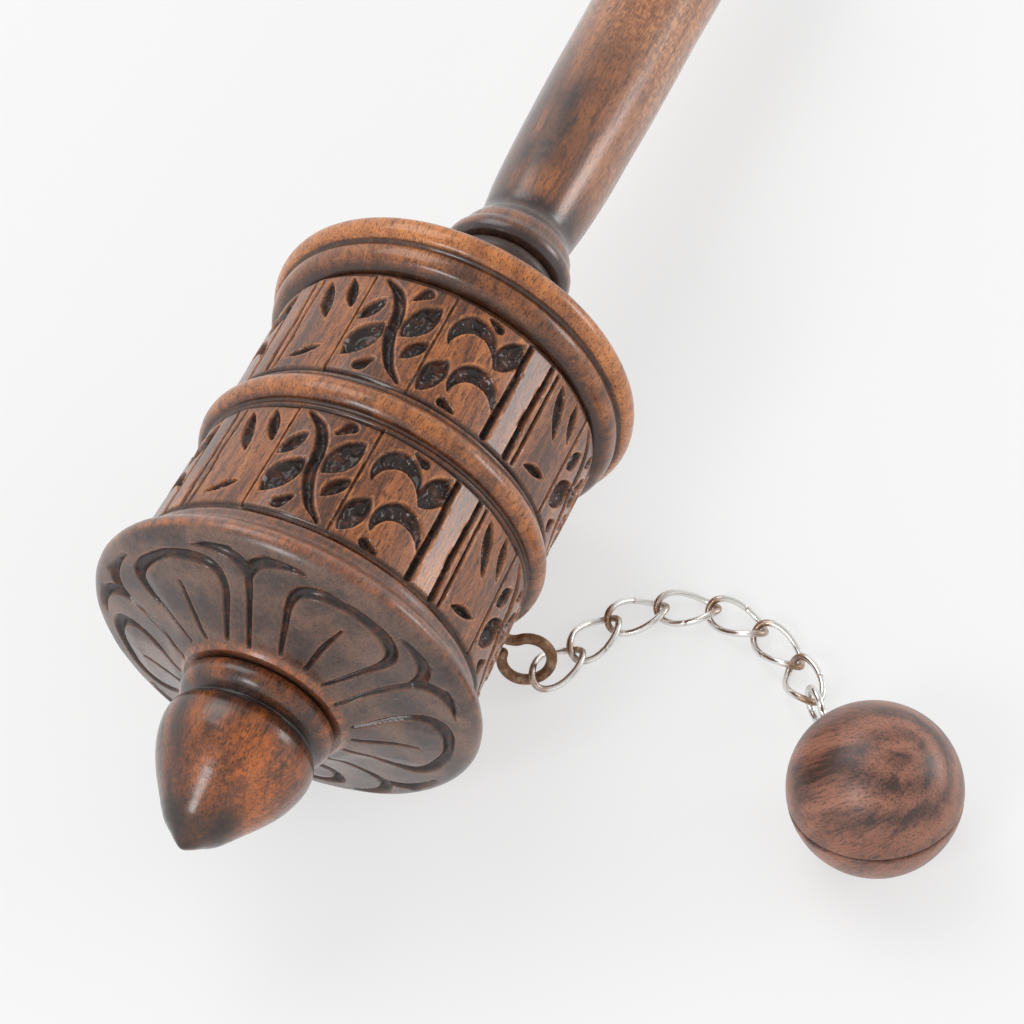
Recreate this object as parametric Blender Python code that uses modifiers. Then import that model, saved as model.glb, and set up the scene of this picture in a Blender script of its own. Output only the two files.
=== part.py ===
"""Hand prayer wheel lying on its side: turned handle, spinning drum with a rolled scroll inside,
screwed-on finial, and a chain with a wooden weight ball.

Metres, +Z up. The origin is the centre of the handle's flat butt, on the spindle's axis.
+X runs along the spindle to the finial, and the chain lies on the +Y side.
"""
import math

import bmesh
import bpy
from mathutils import Matrix, Vector

MM = 0.001

# Driving dimensions
GAP = 0.3 * MM                  # free space between pieces that touch
RIM_R = 35 * MM                 # lid and base rims
BODY_R = 31 * MM                # carved bands of the drum
CAVITY_R = 26 * MM              # inside of the drum
LID_X = 240 * MM                # widest circle of the lid, measured from the handle's butt
RIM_SPACING = 67.9 * MM         # from the lid's widest circle to the base's
SPINDLE_R = 2.5 * MM
HANDLE_R = 11.4 * MM
FINIAL_LENGTH = 38.2 * MM       # from the lid's widest circle to the acorn's tip
BALL_R = 15.05 * MM
ROUND_STEPS = 40                # facets round the drum's pieces
SMALL_STEPS = 28                # facets round the handle, the finial and the ball
TINY_STEPS = 20                 # facets round the small tubes and rings

# Places along the spindle
BASE_X = LID_X - RIM_SPACING
BASE_BACK_X = BASE_X - 3.6 * MM
SHELL_BASE_X = LID_X - 60.2 * MM
SHELL_LID_X = LID_X - 6.4 * MM
BEAD_X = LID_X - 33 * MM
BEAD_R = 32.6 * MM
LID_SEAT_X = LID_X + 9.4 * MM   # flat top of the lid, under the finial
COLLAR_X = LID_X - 91.4 * MM    # front face of the handle's collar
SPIGOT_DEPTH = 5.2 * MM         # how far the lid and the base reach into the drum
SPIGOT_R = CAVITY_R - GAP

# Small hardware
BORE_R = SPINDLE_R + GAP
BUSH_R = 4.5 * MM
BUSH_HOLE_R = BUSH_R + GAP
WASHER_R = 8 * MM
WASHER_THICKNESS = 1 * MM
INSERT_R = 4.2 * MM
SPINDLE_DEPTH = 52 * MM         # length of spindle inside the handle
SPINDLE_TOP_X = LID_X + 24 * MM

# Scroll
CORE_R = 5 * MM
CORE_BORE_R = 3.6 * MM
PAPER_R = 23 * MM
WRAP_THICKNESS = 0.8 * MM
TIE_R = 0.5 * MM

# Chain, laid on the surface that the rims rest on
FLOOR_Z = -RIM_R * math.cos(math.pi / ROUND_STEPS)
LINK_LENGTH = 12.6 * MM
LINK_WIDTH = 7.6 * MM
LINK_WIRE_R = 0.625 * MM
LINK_PITCH = 9.6 * MM
LINK_TWIST = math.radians(42)   # each end of a link is turned this far from its middle
LINK_SQUARENESS = 2.3           # 2 is an ellipse
LINK_POINTS = 20
LINK_LIFT = 0.05 * MM
EYE_ANGLE = math.radians(45)    # how far below the horizontal the screw eye points
EYE_TURN = math.radians(59.5)   # its ring is turned this far round its shank
EYE_RING_R = 4.5 * MM           # to the middle of the wire
EYE_WIRE_R = 1.0 * MM
EYE_REACH = 41.5 * MM           # from the spindle's axis to the centre of the ring
FIRST_JOINT_OFFSET = Vector((1.7 * MM, -0.4 * MM, 0))
LINK_HEADINGS = (155, 158, 131, 111, 82, 60, 34)    # degrees from +X, seen from above
LINK_CLIMBS = (-6, 0, 0, 0, 0, 4, 16)               # degrees up from the surface
LINK_ROLLS = (4, 0, 0, 0, 0, 0, 15)                 # degrees round the link's own length

# Weight
WEIGHT_RING_R = 3.2 * MM        # to the middle of the wire
WEIGHT_WIRE_R = 0.65 * MM
WEIGHT_SHANK_DEPTH = 8 * MM     # how deep its eye sits in the ball
BALL_CENTRE = Vector((LID_X - 25.7 * MM, 95.7 * MM, FLOOR_Z + BALL_R))
BALL_TILT = Vector((-0.14, -0.19, 0.97))            # axis that the ball was turned on
BALL_GROOVE_ANGLE = 94.5        # degrees from the ball's upper pole
BALL_GROOVE_HALF = 1.9          # half the groove's width, in degrees
BALL_GROOVE_DEPTH = 0.6 * MM

AXIS_ROTATION = (0, math.pi / 2, 0)                 # turns local +Z to world +X


def reset_scene():
    for item in list(bpy.data.objects):
        bpy.data.objects.remove(item, do_unlink=True)


def new_collection(name):
    collection = bpy.data.collections.new(name)
    bpy.context.scene.collection.children.link(collection)
    return collection


def new_material(name, colour, roughness, metallic=0.0):
    material = bpy.data.materials.new(name)
    material.use_nodes = True
    shader = material.node_tree.nodes["Principled BSDF"]
    shader.inputs["Base Color"].default_value = (*colour, 1)
    shader.inputs["Roughness"].default_value = roughness
    shader.inputs["Metallic"].default_value = metallic
    return material


def new_object(name, data, collection, material=None, parent=None):
    item = bpy.data.objects.new(name, data)
    collection.objects.link(item)
    item.parent = parent
    if material:
        data.materials.append(material)
    return item


def new_empty(name, rotation=(0, 0, 0)):
    empty = new_object(name, None, PARTS)
    empty.rotation_euler = rotation
    empty.empty_display_size = 10 * MM
    return empty


def arc(x, r, radius, start, end, count):
    """Points round a circle centred at station x and distance r from the axis, in degrees from +X."""
    points = []
    for step in range(count + 1):
        angle = math.radians(start + (end - start) * step / count)
        points.append((x + radius * math.cos(angle), r + radius * math.sin(angle)))
    return points


def turned(name, outline, material, parent, steps=ROUND_STEPS, closed=False):
    """A solid turned on the parent's Z axis.

    The outline lists (station, radius), up the bore if there is one and then down the outer side.
    """
    points = [(radius, 0, station) for station, radius in outline]
    edges = [(i, i + 1) for i in range(len(points) - 1)]
    if closed:
        edges.append((len(points) - 1, 0))
    mesh = bpy.data.meshes.new(name)
    mesh.from_pydata(points, edges, [])
    item = new_object(name, mesh, PARTS, material, parent)
    item.rotation_euler.z = math.pi / steps
    screw = item.modifiers.new("Turn", "SCREW")
    screw.steps = steps
    screw.render_steps = steps
    screw.use_merge_vertices = True
    screw.merge_threshold = 0.01 * MM
    screw.use_smooth_shade = True
    return item


def tube_ring(name, start, end, inner, outer, material, parent):
    outline = [(start, inner), (end, inner), (end, outer), (start, outer)]
    return turned(name, outline, material, parent, TINY_STEPS, closed=True)


def wire(name, points, radius, material, parent, cyclic=False):
    """A round wire along the points, as a mesh with its caps welded."""
    curve = bpy.data.curves.new(name + "_path", "CURVE")
    curve.dimensions = "3D"
    curve.bevel_depth = radius
    curve.bevel_resolution = 2
    curve.use_fill_caps = True
    spline = curve.splines.new("POLY")
    spline.points.add(len(points) - 1)
    for target, point in zip(spline.points, points):
        target.co = (*point, 1)
    spline.use_cyclic_u = cyclic
    guide = new_object(name + "_path", curve, CUTTERS, parent=parent)
    bpy.context.view_layer.update()
    mesh = bpy.data.meshes.new_from_object(guide.evaluated_get(bpy.context.evaluated_depsgraph_get()))
    welded = bmesh.new()
    welded.from_mesh(mesh)
    bmesh.ops.remove_doubles(welded, verts=welded.verts, dist=0.001 * MM)
    bmesh.ops.recalc_face_normals(welded, faces=welded.faces)
    welded.to_mesh(mesh)
    welded.free()
    mesh.shade_smooth()
    mesh.set_sharp_from_angle(angle=math.radians(50))
    mesh.name = name
    item = new_object(name, mesh, PARTS, material, parent)
    bpy.data.objects.remove(guide, do_unlink=True)
    return item


def drill(item, start, direction, radius, depth):
    """Cut a round hole that begins at start and runs along direction."""
    mesh = bpy.data.meshes.new(item.name + "_drill")
    body = bmesh.new()
    bmesh.ops.create_cone(body, cap_ends=True, segments=16, radius1=radius, radius2=radius, depth=depth)
    body.to_mesh(mesh)
    body.free()
    cutter = new_object(item.name + "_drill", mesh, CUTTERS)
    cutter.location = start + direction * (depth / 2)
    cutter.rotation_euler = direction.to_track_quat("Z", "Y").to_euler()
    cutter.hide_render = True
    cutter.display_type = "WIRE"
    cut = item.modifiers.new("Drill", "BOOLEAN")
    cut.operation = "DIFFERENCE"
    cut.object = cutter


def make_handle(material, parent):
    bore_x = COLLAR_X - SPINDLE_DEPTH
    outline = [(bore_x, 0), (bore_x, BORE_R), (COLLAR_X, BORE_R)]
    outline += [(COLLAR_X, 10.4 * MM)]
    outline += arc(COLLAR_X - 1.9 * MM, 10.7 * MM, 1.9 * MM, 30, 115, 4)
    outline += [
        (COLLAR_X - 6.5 * MM, 11.2 * MM),
        (COLLAR_X - 9.5 * MM, 9.7 * MM),
        (COLLAR_X - 11.5 * MM, 9.1 * MM),
        (COLLAR_X - 14 * MM, 9.45 * MM),
        (COLLAR_X - 19 * MM, 9.95 * MM),
        (COLLAR_X - 29 * MM, 10.5 * MM),
        (COLLAR_X - 44 * MM, 11.05 * MM),
        (COLLAR_X - 74 * MM, HANDLE_R),
        (COLLAR_X - 110 * MM, HANDLE_R + 0.6 * MM),
        (17 * MM, HANDLE_R + 0.2 * MM),
        (15.2 * MM, HANDLE_R - 0.6 * MM),
        (13.8 * MM, HANDLE_R - 0.6 * MM),
        (12 * MM, HANDLE_R + 0.3 * MM),
    ]
    outline += arc(4 * MM, HANDLE_R - 3.6 * MM, 4 * MM, 75, 180, 4)
    outline += [(0, 0)]
    return turned("handle", outline, material, parent, SMALL_STEPS)


def make_neck(material, parent):
    start = COLLAR_X + GAP
    end = BASE_BACK_X - WASHER_THICKNESS - 2 * GAP
    middle = (start + end) / 2
    outline = [
        (start, BORE_R),
        (end, BORE_R),
        (end, 11.6 * MM),
        (end - 2 * MM, 12.2 * MM),
        (end - 4.5 * MM, 11 * MM),
        (middle, 10.2 * MM),
        (start + 3.5 * MM, 10.6 * MM),
        (start + 0.6 * MM, 11.2 * MM),
        (start, 10.9 * MM),
    ]
    return turned("neck_spacer", outline, material, parent, SMALL_STEPS, closed=True)


def make_spindle(material, parent):
    start = COLLAR_X - SPINDLE_DEPTH + GAP
    outline = [
        (SPINDLE_TOP_X, 0),
        (SPINDLE_TOP_X, SPINDLE_R - 0.5 * MM),
        (SPINDLE_TOP_X - 0.5 * MM, SPINDLE_R),
        (start, SPINDLE_R),
        (start, 0),
    ]
    return turned("spindle", outline, material, parent, TINY_STEPS)


def make_base(material, parent):
    outline = [
        (BASE_BACK_X, BUSH_HOLE_R),
        (SHELL_BASE_X + SPIGOT_DEPTH, BUSH_HOLE_R),
        (SHELL_BASE_X + SPIGOT_DEPTH, SPIGOT_R),
        (SHELL_BASE_X - GAP, SPIGOT_R),
        (SHELL_BASE_X - GAP, 30.6 * MM),
        (SHELL_BASE_X - 1.2 * MM, 31.9 * MM),
        (BASE_X + 4.5 * MM, 32.7 * MM),
        (BASE_X + 2.3 * MM, 33.9 * MM),
    ]
    outline += arc(BASE_X - 0.4 * MM, RIM_R - 2.6 * MM, 2.6 * MM, 60, 180, 5)
    outline += [
        (BASE_BACK_X + 0.9 * MM, 30 * MM),
        (BASE_BACK_X, 26 * MM),
    ]
    return turned("drum_base", outline, material, parent, closed=True)


def make_shell(material, parent):
    groove_r = BODY_R - 0.9 * MM
    bead_half = 3.6 * MM
    outline = [
        (SHELL_BASE_X, CAVITY_R),
        (SHELL_LID_X, CAVITY_R),
        (SHELL_LID_X, groove_r),
        (SHELL_LID_X - 0.9 * MM, BODY_R),
        (BEAD_X + bead_half + 0.8 * MM, BODY_R),
        (BEAD_X + bead_half, groove_r),
    ]
    outline += arc(BEAD_X, BEAD_R - 3 * MM, 3 * MM, 12, 168, 6)
    outline += [
        (BEAD_X - bead_half, groove_r),
        (BEAD_X - bead_half - 0.8 * MM, BODY_R),
        (SHELL_BASE_X + 0.9 * MM, BODY_R),
        (SHELL_BASE_X, groove_r),
    ]
    return turned("drum_shell", outline, material, parent, closed=True)


def make_lid(material, parent):
    recess_x = LID_SEAT_X - WASHER_THICKNESS - GAP
    outline = [
        (SHELL_LID_X - SPIGOT_DEPTH, BUSH_HOLE_R),
        (recess_x, BUSH_HOLE_R),
        (recess_x, WASHER_R + GAP),
        (LID_SEAT_X, WASHER_R + GAP),
        (LID_SEAT_X, 14.2 * MM),
        (LID_SEAT_X - 0.7 * MM, 14.9 * MM),
        (LID_X + 6.5 * MM, 19.5 * MM),
        (LID_X + 3.4 * MM, 29 * MM),
        (LID_X + 2.4 * MM, 32.4 * MM),
    ]
    outline += arc(LID_X, RIM_R - 2.4 * MM, 2.4 * MM, 30, 130, 4)
    outline += [
        (LID_X - 3.6 * MM, 33 * MM),
        (SHELL_LID_X + 1 * MM, 31.8 * MM),
        (SHELL_LID_X + GAP, 30.6 * MM),
        (SHELL_LID_X + GAP, SPIGOT_R),
        (SHELL_LID_X - SPIGOT_DEPTH, SPIGOT_R),
    ]
    return turned("lid", outline, material, parent, closed=True)


def make_finial(material, parent):
    seat_x = LID_SEAT_X + GAP
    tip_x = LID_X + FINIAL_LENGTH
    bore_x = SPINDLE_TOP_X + 2 * GAP
    outline = [(bore_x, 0), (bore_x, INSERT_R + GAP), (seat_x, INSERT_R + GAP), (seat_x, 11.4 * MM)]
    outline += arc(LID_X + 12 * MM, 11.1 * MM, 2.3 * MM, 200, 30, 6)
    outline += [(LID_X + 15 * MM, 11.2 * MM)]
    outline += [
        (LID_X + 16.2 * MM, 12.6 * MM),
        (LID_X + 18 * MM, 13.1 * MM),
        (LID_X + 20 * MM, 12.95 * MM),
        (LID_X + 23 * MM, 12.2 * MM),
        (LID_X + 26 * MM, 10.7 * MM),
        (LID_X + 30 * MM, 8.1 * MM),
        (LID_X + 34 * MM, 5.3 * MM),
        (tip_x - 2.2 * MM, 3.2 * MM),
        (tip_x - 0.9 * MM, 1.3 * MM),
        (tip_x, 0.6 * MM),
        (tip_x, 0),
    ]
    outline.reverse()
    return turned("finial", outline, material, parent, SMALL_STEPS)


def make_scroll(paper, cloth, thread, card, parent):
    start = SHELL_BASE_X + SPIGOT_DEPTH + 1.5 * MM
    end = SHELL_LID_X - SPIGOT_DEPTH - 1.5 * MM
    wrap_inner = PAPER_R + GAP
    wrap_outer = wrap_inner + WRAP_THICKNESS
    tube_ring("scroll_core", start, end, CORE_BORE_R, CORE_R, card, parent)
    tube_ring("scroll_paper", start + 1 * MM, end - 1 * MM, CORE_R + GAP, PAPER_R, paper, parent)
    tube_ring("scroll_wrap", start + 1 * MM, end - 1 * MM, wrap_inner, wrap_outer, cloth, parent)
    tie_centre_r = wrap_outer + GAP + TIE_R
    for name, share in (("scroll_tie_lower", 0.22), ("scroll_tie_upper", 0.78)):
        outline = arc(start + (end - start) * share, tie_centre_r, TIE_R, 0, 300, 5)
        turned(name, outline, thread, parent, TINY_STEPS, closed=True)


def eye_path(ring_r, wire_r, shank):
    """Path of a wire eye in its XY plane: a shank along -X that bends into a ring round the origin."""
    gap_angle = 2 * math.asin((2 * wire_r + 1.5 * GAP) / (2 * ring_r))
    bend_angle = gap_angle * 0.55
    points = [Vector((-shank, 0, 0)), Vector((-ring_r - 2.6 * wire_r, 0, 0))]
    points.append(Vector((-ring_r - 1.1 * wire_r, 0.25 * wire_r, 0)))
    start = math.pi - bend_angle
    end = -math.pi + gap_angle
    turns = 16
    for step in range(turns + 1):
        angle = start + (end - start) * step / turns
        points.append(Vector((ring_r * math.cos(angle), ring_r * math.sin(angle), 0)))
    return points


def make_screw_eye(material, parent):
    """The eye points outward and down, and its local +X is the way that it points."""
    outward = Vector((0, math.cos(EYE_ANGLE), -math.sin(EYE_ANGLE)))
    flat = Vector((1, 0, 0))
    across = outward.cross(flat)
    normal = flat * math.sin(EYE_TURN) - across * math.cos(EYE_TURN)
    side = normal.cross(outward)
    turn = Matrix((outward, side, normal)).transposed().to_4x4()
    centre = Vector((BEAD_X, 0, 0)) + outward * EYE_REACH
    shank = EYE_REACH - CAVITY_R - 1.2 * MM
    place = Matrix.Translation(centre) @ turn
    points = [place @ point for point in eye_path(EYE_RING_R, EYE_WIRE_R, shank)]
    drum_space = parent.matrix_world.inverted()
    points = [drum_space @ point for point in points]
    item = wire("screw_eye", points, EYE_WIRE_R, material, parent)
    return item, outward


def link_point(angle):
    """A point of the link's centre line: a rounded oval along X, twisted round its length."""
    half_length = LINK_LENGTH / 2 - LINK_WIRE_R
    half_width = LINK_WIDTH / 2 - LINK_WIRE_R
    power = 2 / LINK_SQUARENESS
    cosine = math.cos(angle)
    sine = math.sin(angle)
    along = half_length * math.copysign(abs(cosine) ** power, cosine)
    across = half_width * math.copysign(abs(sine) ** power, sine)
    roll = -LINK_TWIST * along / half_length
    return Vector((along, across * math.cos(roll), across * math.sin(roll)))


def link_points():
    return [link_point(2 * math.pi * (step + 0.5) / LINK_POINTS) for step in range(LINK_POINTS)]


def link_rest_height():
    """Height of a flat link's middle above the surface it lies on."""
    return max(point.z for point in link_points()) + LINK_WIRE_R + LINK_LIFT


def link_turn(heading, climb, roll):
    turn = Matrix.Rotation(math.radians(heading), 4, "Z")
    turn = turn @ Matrix.Rotation(-math.radians(climb), 4, "Y")
    return turn @ Matrix.Rotation(math.radians(roll), 4, "X")


def make_chain(material, outward):
    """Each link's origin is the joint that it swings on, and its local +X runs along it."""
    joint = Vector((BEAD_X, 0, 0)) + outward * (EYE_REACH + EYE_RING_R) + FIRST_JOINT_OFFSET
    first_drop = LINK_PITCH * math.sin(math.radians(-LINK_CLIMBS[0]))
    joint.z = FLOOR_Z + link_rest_height() + first_drop
    offset = Vector((LINK_PITCH / 2, 0, 0))
    for number, (heading, climb, roll) in enumerate(zip(LINK_HEADINGS, LINK_CLIMBS, LINK_ROLLS), start=1):
        points = [point + offset for point in link_points()]
        link = wire(f"chain_link_{number}", points, LINK_WIRE_R, material, None, cyclic=True)
        link.matrix_world = Matrix.Translation(joint) @ link_turn(heading, climb, roll)
        joint = link.matrix_world @ Vector((LINK_PITCH, 0, 0))
    return joint


def make_weight(wood, metal, joint):
    """The ball rests on the surface. Its eye points to the last link, whose end the eye's ring holds."""
    swing = new_empty("weight_swing")
    swing.location = joint
    bpy.context.view_layer.update()
    to_joint = joint - BALL_CENTRE
    outward = to_joint.normalized()
    reach = to_joint.length + WEIGHT_WIRE_R + GAP - WEIGHT_RING_R
    side = (Vector((0, 0, 1)) - outward * outward.z).normalized()
    turn = Matrix((outward, side, outward.cross(side))).transposed().to_4x4()
    centre = BALL_CENTRE - joint
    place = Matrix.Translation(centre + outward * reach) @ turn
    shank = reach - BALL_R + WEIGHT_SHANK_DEPTH
    points = [place @ point for point in eye_path(WEIGHT_RING_R, WEIGHT_WIRE_R, shank)]
    wire("weight_eye", points, WEIGHT_WIRE_R, metal, swing)

    outline = arc(0, 0, BALL_R, 0, BALL_GROOVE_ANGLE - BALL_GROOVE_HALF, 8)
    outline += arc(0, 0, BALL_R - BALL_GROOVE_DEPTH, BALL_GROOVE_ANGLE, BALL_GROOVE_ANGLE, 1)[:1]
    outline += arc(0, 0, BALL_R, BALL_GROOVE_ANGLE + BALL_GROOVE_HALF, 180, 7)
    ball = turned("weight_ball", outline, wood, swing, SMALL_STEPS)
    ball.location = centre
    ball.rotation_euler = BALL_TILT.to_track_quat("Z", "Y").to_euler()
    hole_depth = WEIGHT_SHANK_DEPTH + GAP
    hole_start = BALL_CENTRE + outward * (BALL_R - hole_depth)
    drill(ball, hole_start, outward, WEIGHT_WIRE_R + GAP, hole_depth + 2 * MM)


reset_scene()
PARTS = new_collection("prayer_wheel")
CUTTERS = new_collection("cutters")

dark_wood = new_material("dark_wood", (0.09, 0.045, 0.025), 0.4)
drum_wood = new_material("drum_wood", (0.33, 0.15, 0.06), 0.45)
handle_wood = new_material("handle_wood", (0.36, 0.18, 0.09), 0.35)
ball_wood = new_material("ball_wood", (0.26, 0.13, 0.08), 0.5)
steel = new_material("steel", (0.62, 0.6, 0.57), 0.3, 1.0)
rusty_iron = new_material("rusty_iron", (0.22, 0.13, 0.07), 0.7, 0.6)
brass = new_material("brass", (0.72, 0.5, 0.2), 0.35, 1.0)
paper = new_material("paper", (0.86, 0.8, 0.66), 0.9)
cloth = new_material("yellow_cloth", (0.8, 0.5, 0.1), 0.9)
thread = new_material("red_thread", (0.5, 0.05, 0.04), 0.9)
card = new_material("card", (0.5, 0.38, 0.25), 0.9)

handle_axis = new_empty("handle_axis", AXIS_ROTATION)
drum_axis = new_empty("drum_axis", AXIS_ROTATION)
finial_axis = new_empty("finial_axis", AXIS_ROTATION)
lid_axis = new_empty("lid_axis", AXIS_ROTATION)
scroll_axis = new_empty("scroll_axis", AXIS_ROTATION)
bpy.context.view_layer.update()

make_handle(handle_wood, handle_axis)
make_neck(dark_wood, handle_axis)
make_spindle(steel, handle_axis)
washer_x = BASE_BACK_X - WASHER_THICKNESS - GAP
tube_ring("lower_washer", washer_x, washer_x + WASHER_THICKNESS, BORE_R, WASHER_R, brass, handle_axis)

make_base(drum_wood, drum_axis)
bush_end = SHELL_BASE_X + SPIGOT_DEPTH
tube_ring("lower_bush", BASE_BACK_X, bush_end, BORE_R, BUSH_R, brass, drum_axis)
shell = make_shell(drum_wood, drum_axis)
eye, eye_outward = make_screw_eye(rusty_iron, drum_axis)
hole_start_r = CAVITY_R + 0.9 * MM
shell_hole = Vector((BEAD_X, 0, 0)) + eye_outward * hole_start_r
drill(shell, shell_hole, eye_outward, EYE_WIRE_R + GAP, BEAD_R - hole_start_r + 2 * MM)

make_lid(drum_wood, lid_axis)
lid_recess_x = LID_SEAT_X - WASHER_THICKNESS - GAP
tube_ring("upper_bush", SHELL_LID_X - SPIGOT_DEPTH, lid_recess_x - GAP, BORE_R, BUSH_R, brass, lid_axis)
tube_ring("upper_washer", lid_recess_x + GAP, LID_SEAT_X, BORE_R, WASHER_R, brass, lid_axis)

make_scroll(paper, cloth, thread, card, scroll_axis)

make_finial(dark_wood, finial_axis)
insert_start = LID_SEAT_X + GAP
tube_ring("finial_insert", insert_start, SPINDLE_TOP_X + GAP, BORE_R, INSERT_R, brass, finial_axis)

last_joint = make_chain(steel, eye_outward)
make_weight(ball_wood, steel, last_joint)
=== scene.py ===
"""Looks of a hand prayer wheel that lies on a pale table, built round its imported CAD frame.

The shapes are worked out in millimetres in the CAD's own frame, where +X runs along the spindle
from the handle's butt and +Z is up, and turned into metres when each mesh is made. Angles round
the spindle are measured from +Y towards +Z.
"""

import math

import bpy
import numpy as np
from mathutils import Matrix, Vector


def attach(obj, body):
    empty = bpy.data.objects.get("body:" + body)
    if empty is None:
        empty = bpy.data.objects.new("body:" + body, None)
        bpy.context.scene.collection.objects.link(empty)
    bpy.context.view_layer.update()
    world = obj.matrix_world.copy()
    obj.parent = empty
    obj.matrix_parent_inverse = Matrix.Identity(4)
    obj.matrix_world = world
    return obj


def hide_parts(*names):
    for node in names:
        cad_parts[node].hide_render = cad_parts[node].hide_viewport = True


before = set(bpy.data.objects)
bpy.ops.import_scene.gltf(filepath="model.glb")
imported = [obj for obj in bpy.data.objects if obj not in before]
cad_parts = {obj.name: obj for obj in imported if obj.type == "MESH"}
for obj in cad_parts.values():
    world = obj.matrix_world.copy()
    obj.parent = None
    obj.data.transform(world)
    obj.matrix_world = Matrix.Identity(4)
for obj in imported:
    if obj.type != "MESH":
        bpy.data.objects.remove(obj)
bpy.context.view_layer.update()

MM = 0.001
GAP = 0.3

# Places along the spindle, and radii
RIM_R = 35.0
BODY_R = 31.0
CAVITY_R = 26.0
LID_X = 240.0
BASE_X = LID_X - 67.9
BASE_BACK_X = BASE_X - 3.6
SHELL_BASE_X = LID_X - 60.2
SHELL_LID_X = LID_X - 6.4
BEAD_X = LID_X - 33.0
BEAD_R = 32.6
LID_SEAT_X = LID_X + 9.4
COLLAR_X = LID_X - 91.4
TIP_X = LID_X + 38.2
SPIGOT_DEPTH = 5.2
SPIGOT_R = CAVITY_R - GAP
SPINDLE_R = 2.5
SPINDLE_DEPTH = 52.0
SPINDLE_TOP_X = LID_X + 24.0
BORE_R = SPINDLE_R + GAP
BUSH_R = 4.5
WASHER_R = 8.0
WASHER_THICKNESS = 1.0
INSERT_R = 4.2
FLOOR_Z = -RIM_R * math.cos(math.pi / 40)


# ---------------- curves and noise

def arc(x, r, radius, start, end, count):
    """Points round a circle centred at station x and distance r from the axis, in degrees from +X."""
    angles = np.radians(np.linspace(start, end, count + 1))
    return np.column_stack([x + radius * np.cos(angles), r + radius * np.sin(angles)])


def dense(points, spacing):
    """The same polyline, cut into steps no longer than spacing."""
    points = np.asarray(points, float)
    pieces = []
    for begin, end in zip(points, points[1:]):
        count = max(1, math.ceil(np.linalg.norm(end - begin) / spacing))
        shares = np.linspace(0, 1, count, endpoint=False)[:, None]
        pieces.append(begin + (end - begin) * shares)
    pieces.append(points[-1:])
    return np.vstack(pieces)


def between(share_of, start, end, first, last):
    """The point that lies between two others as share_of lies between start and end."""
    length = end - start
    return (end - share_of) / length * first + (share_of - start) / length * last


def curve_through(points, spacing):
    """A smooth curve through the points, in steps of about spacing."""
    points = np.asarray(points, float)
    first = 2 * points[0] - points[1]
    last = 2 * points[-1] - points[-2]
    points = np.vstack([first, points, last])
    pieces = []
    for a, b, c, d in zip(points, points[1:], points[2:], points[3:]):
        t1 = math.sqrt(np.linalg.norm(b - a))
        t2 = t1 + math.sqrt(np.linalg.norm(c - b))
        t3 = t2 + math.sqrt(np.linalg.norm(d - c))
        count = max(1, round(np.linalg.norm(c - b) / spacing))
        t = np.linspace(t1, t2, count, endpoint=False)[:, None]
        bc = between(t, t1, t2, b, c)
        abc = between(t, 0, t2, between(t, 0, t1, a, b), bc)
        bcd = between(t, t1, t3, bc, between(t, t2, t3, c, d))
        pieces.append(between(t, t1, t2, abc, bcd))
    pieces.append(points[-2:-1])
    return np.vstack(pieces)


def smoothstep(low, high, value):
    share = np.clip((value - low) / (high - low), 0, 1)
    return share * share * (3 - 2 * share)


def ridge(value, centre, half_width):
    """1 at the centre, falling smoothly to 0 over about twice the half width."""
    return np.exp(-((value - centre) / half_width) ** 2)


def around(degrees, centre=0.0):
    """How far an angle is from the centre, from -180 to 180 degrees."""
    return (degrees - centre + 180) % 360 - 180


def shifted(station, points):
    """Profile points given from a station, as (station, radius) rows."""
    return np.asarray(points, float) + (station, 0)


def patchy(u, v, cell, seed):
    """Smooth random values from 0 to 1, with patches about one cell across. It repeats every 64 cells."""
    size = 64
    table = np.random.default_rng(seed).random((size, size))
    u, v = np.broadcast_arrays(np.asarray(u, float) / cell, np.asarray(v, float) / cell)
    column = np.floor(u).astype(int)
    row = np.floor(v).astype(int)
    across = smoothstep(0, 1, u - column)
    along = smoothstep(0, 1, v - row)

    def blended(row):
        row = row % size
        return table[row, column % size] * (1 - across) + table[row, (column + 1) % size] * across

    return blended(row) * (1 - along) + blended(row + 1) * along


# ---------------- meshes

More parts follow.
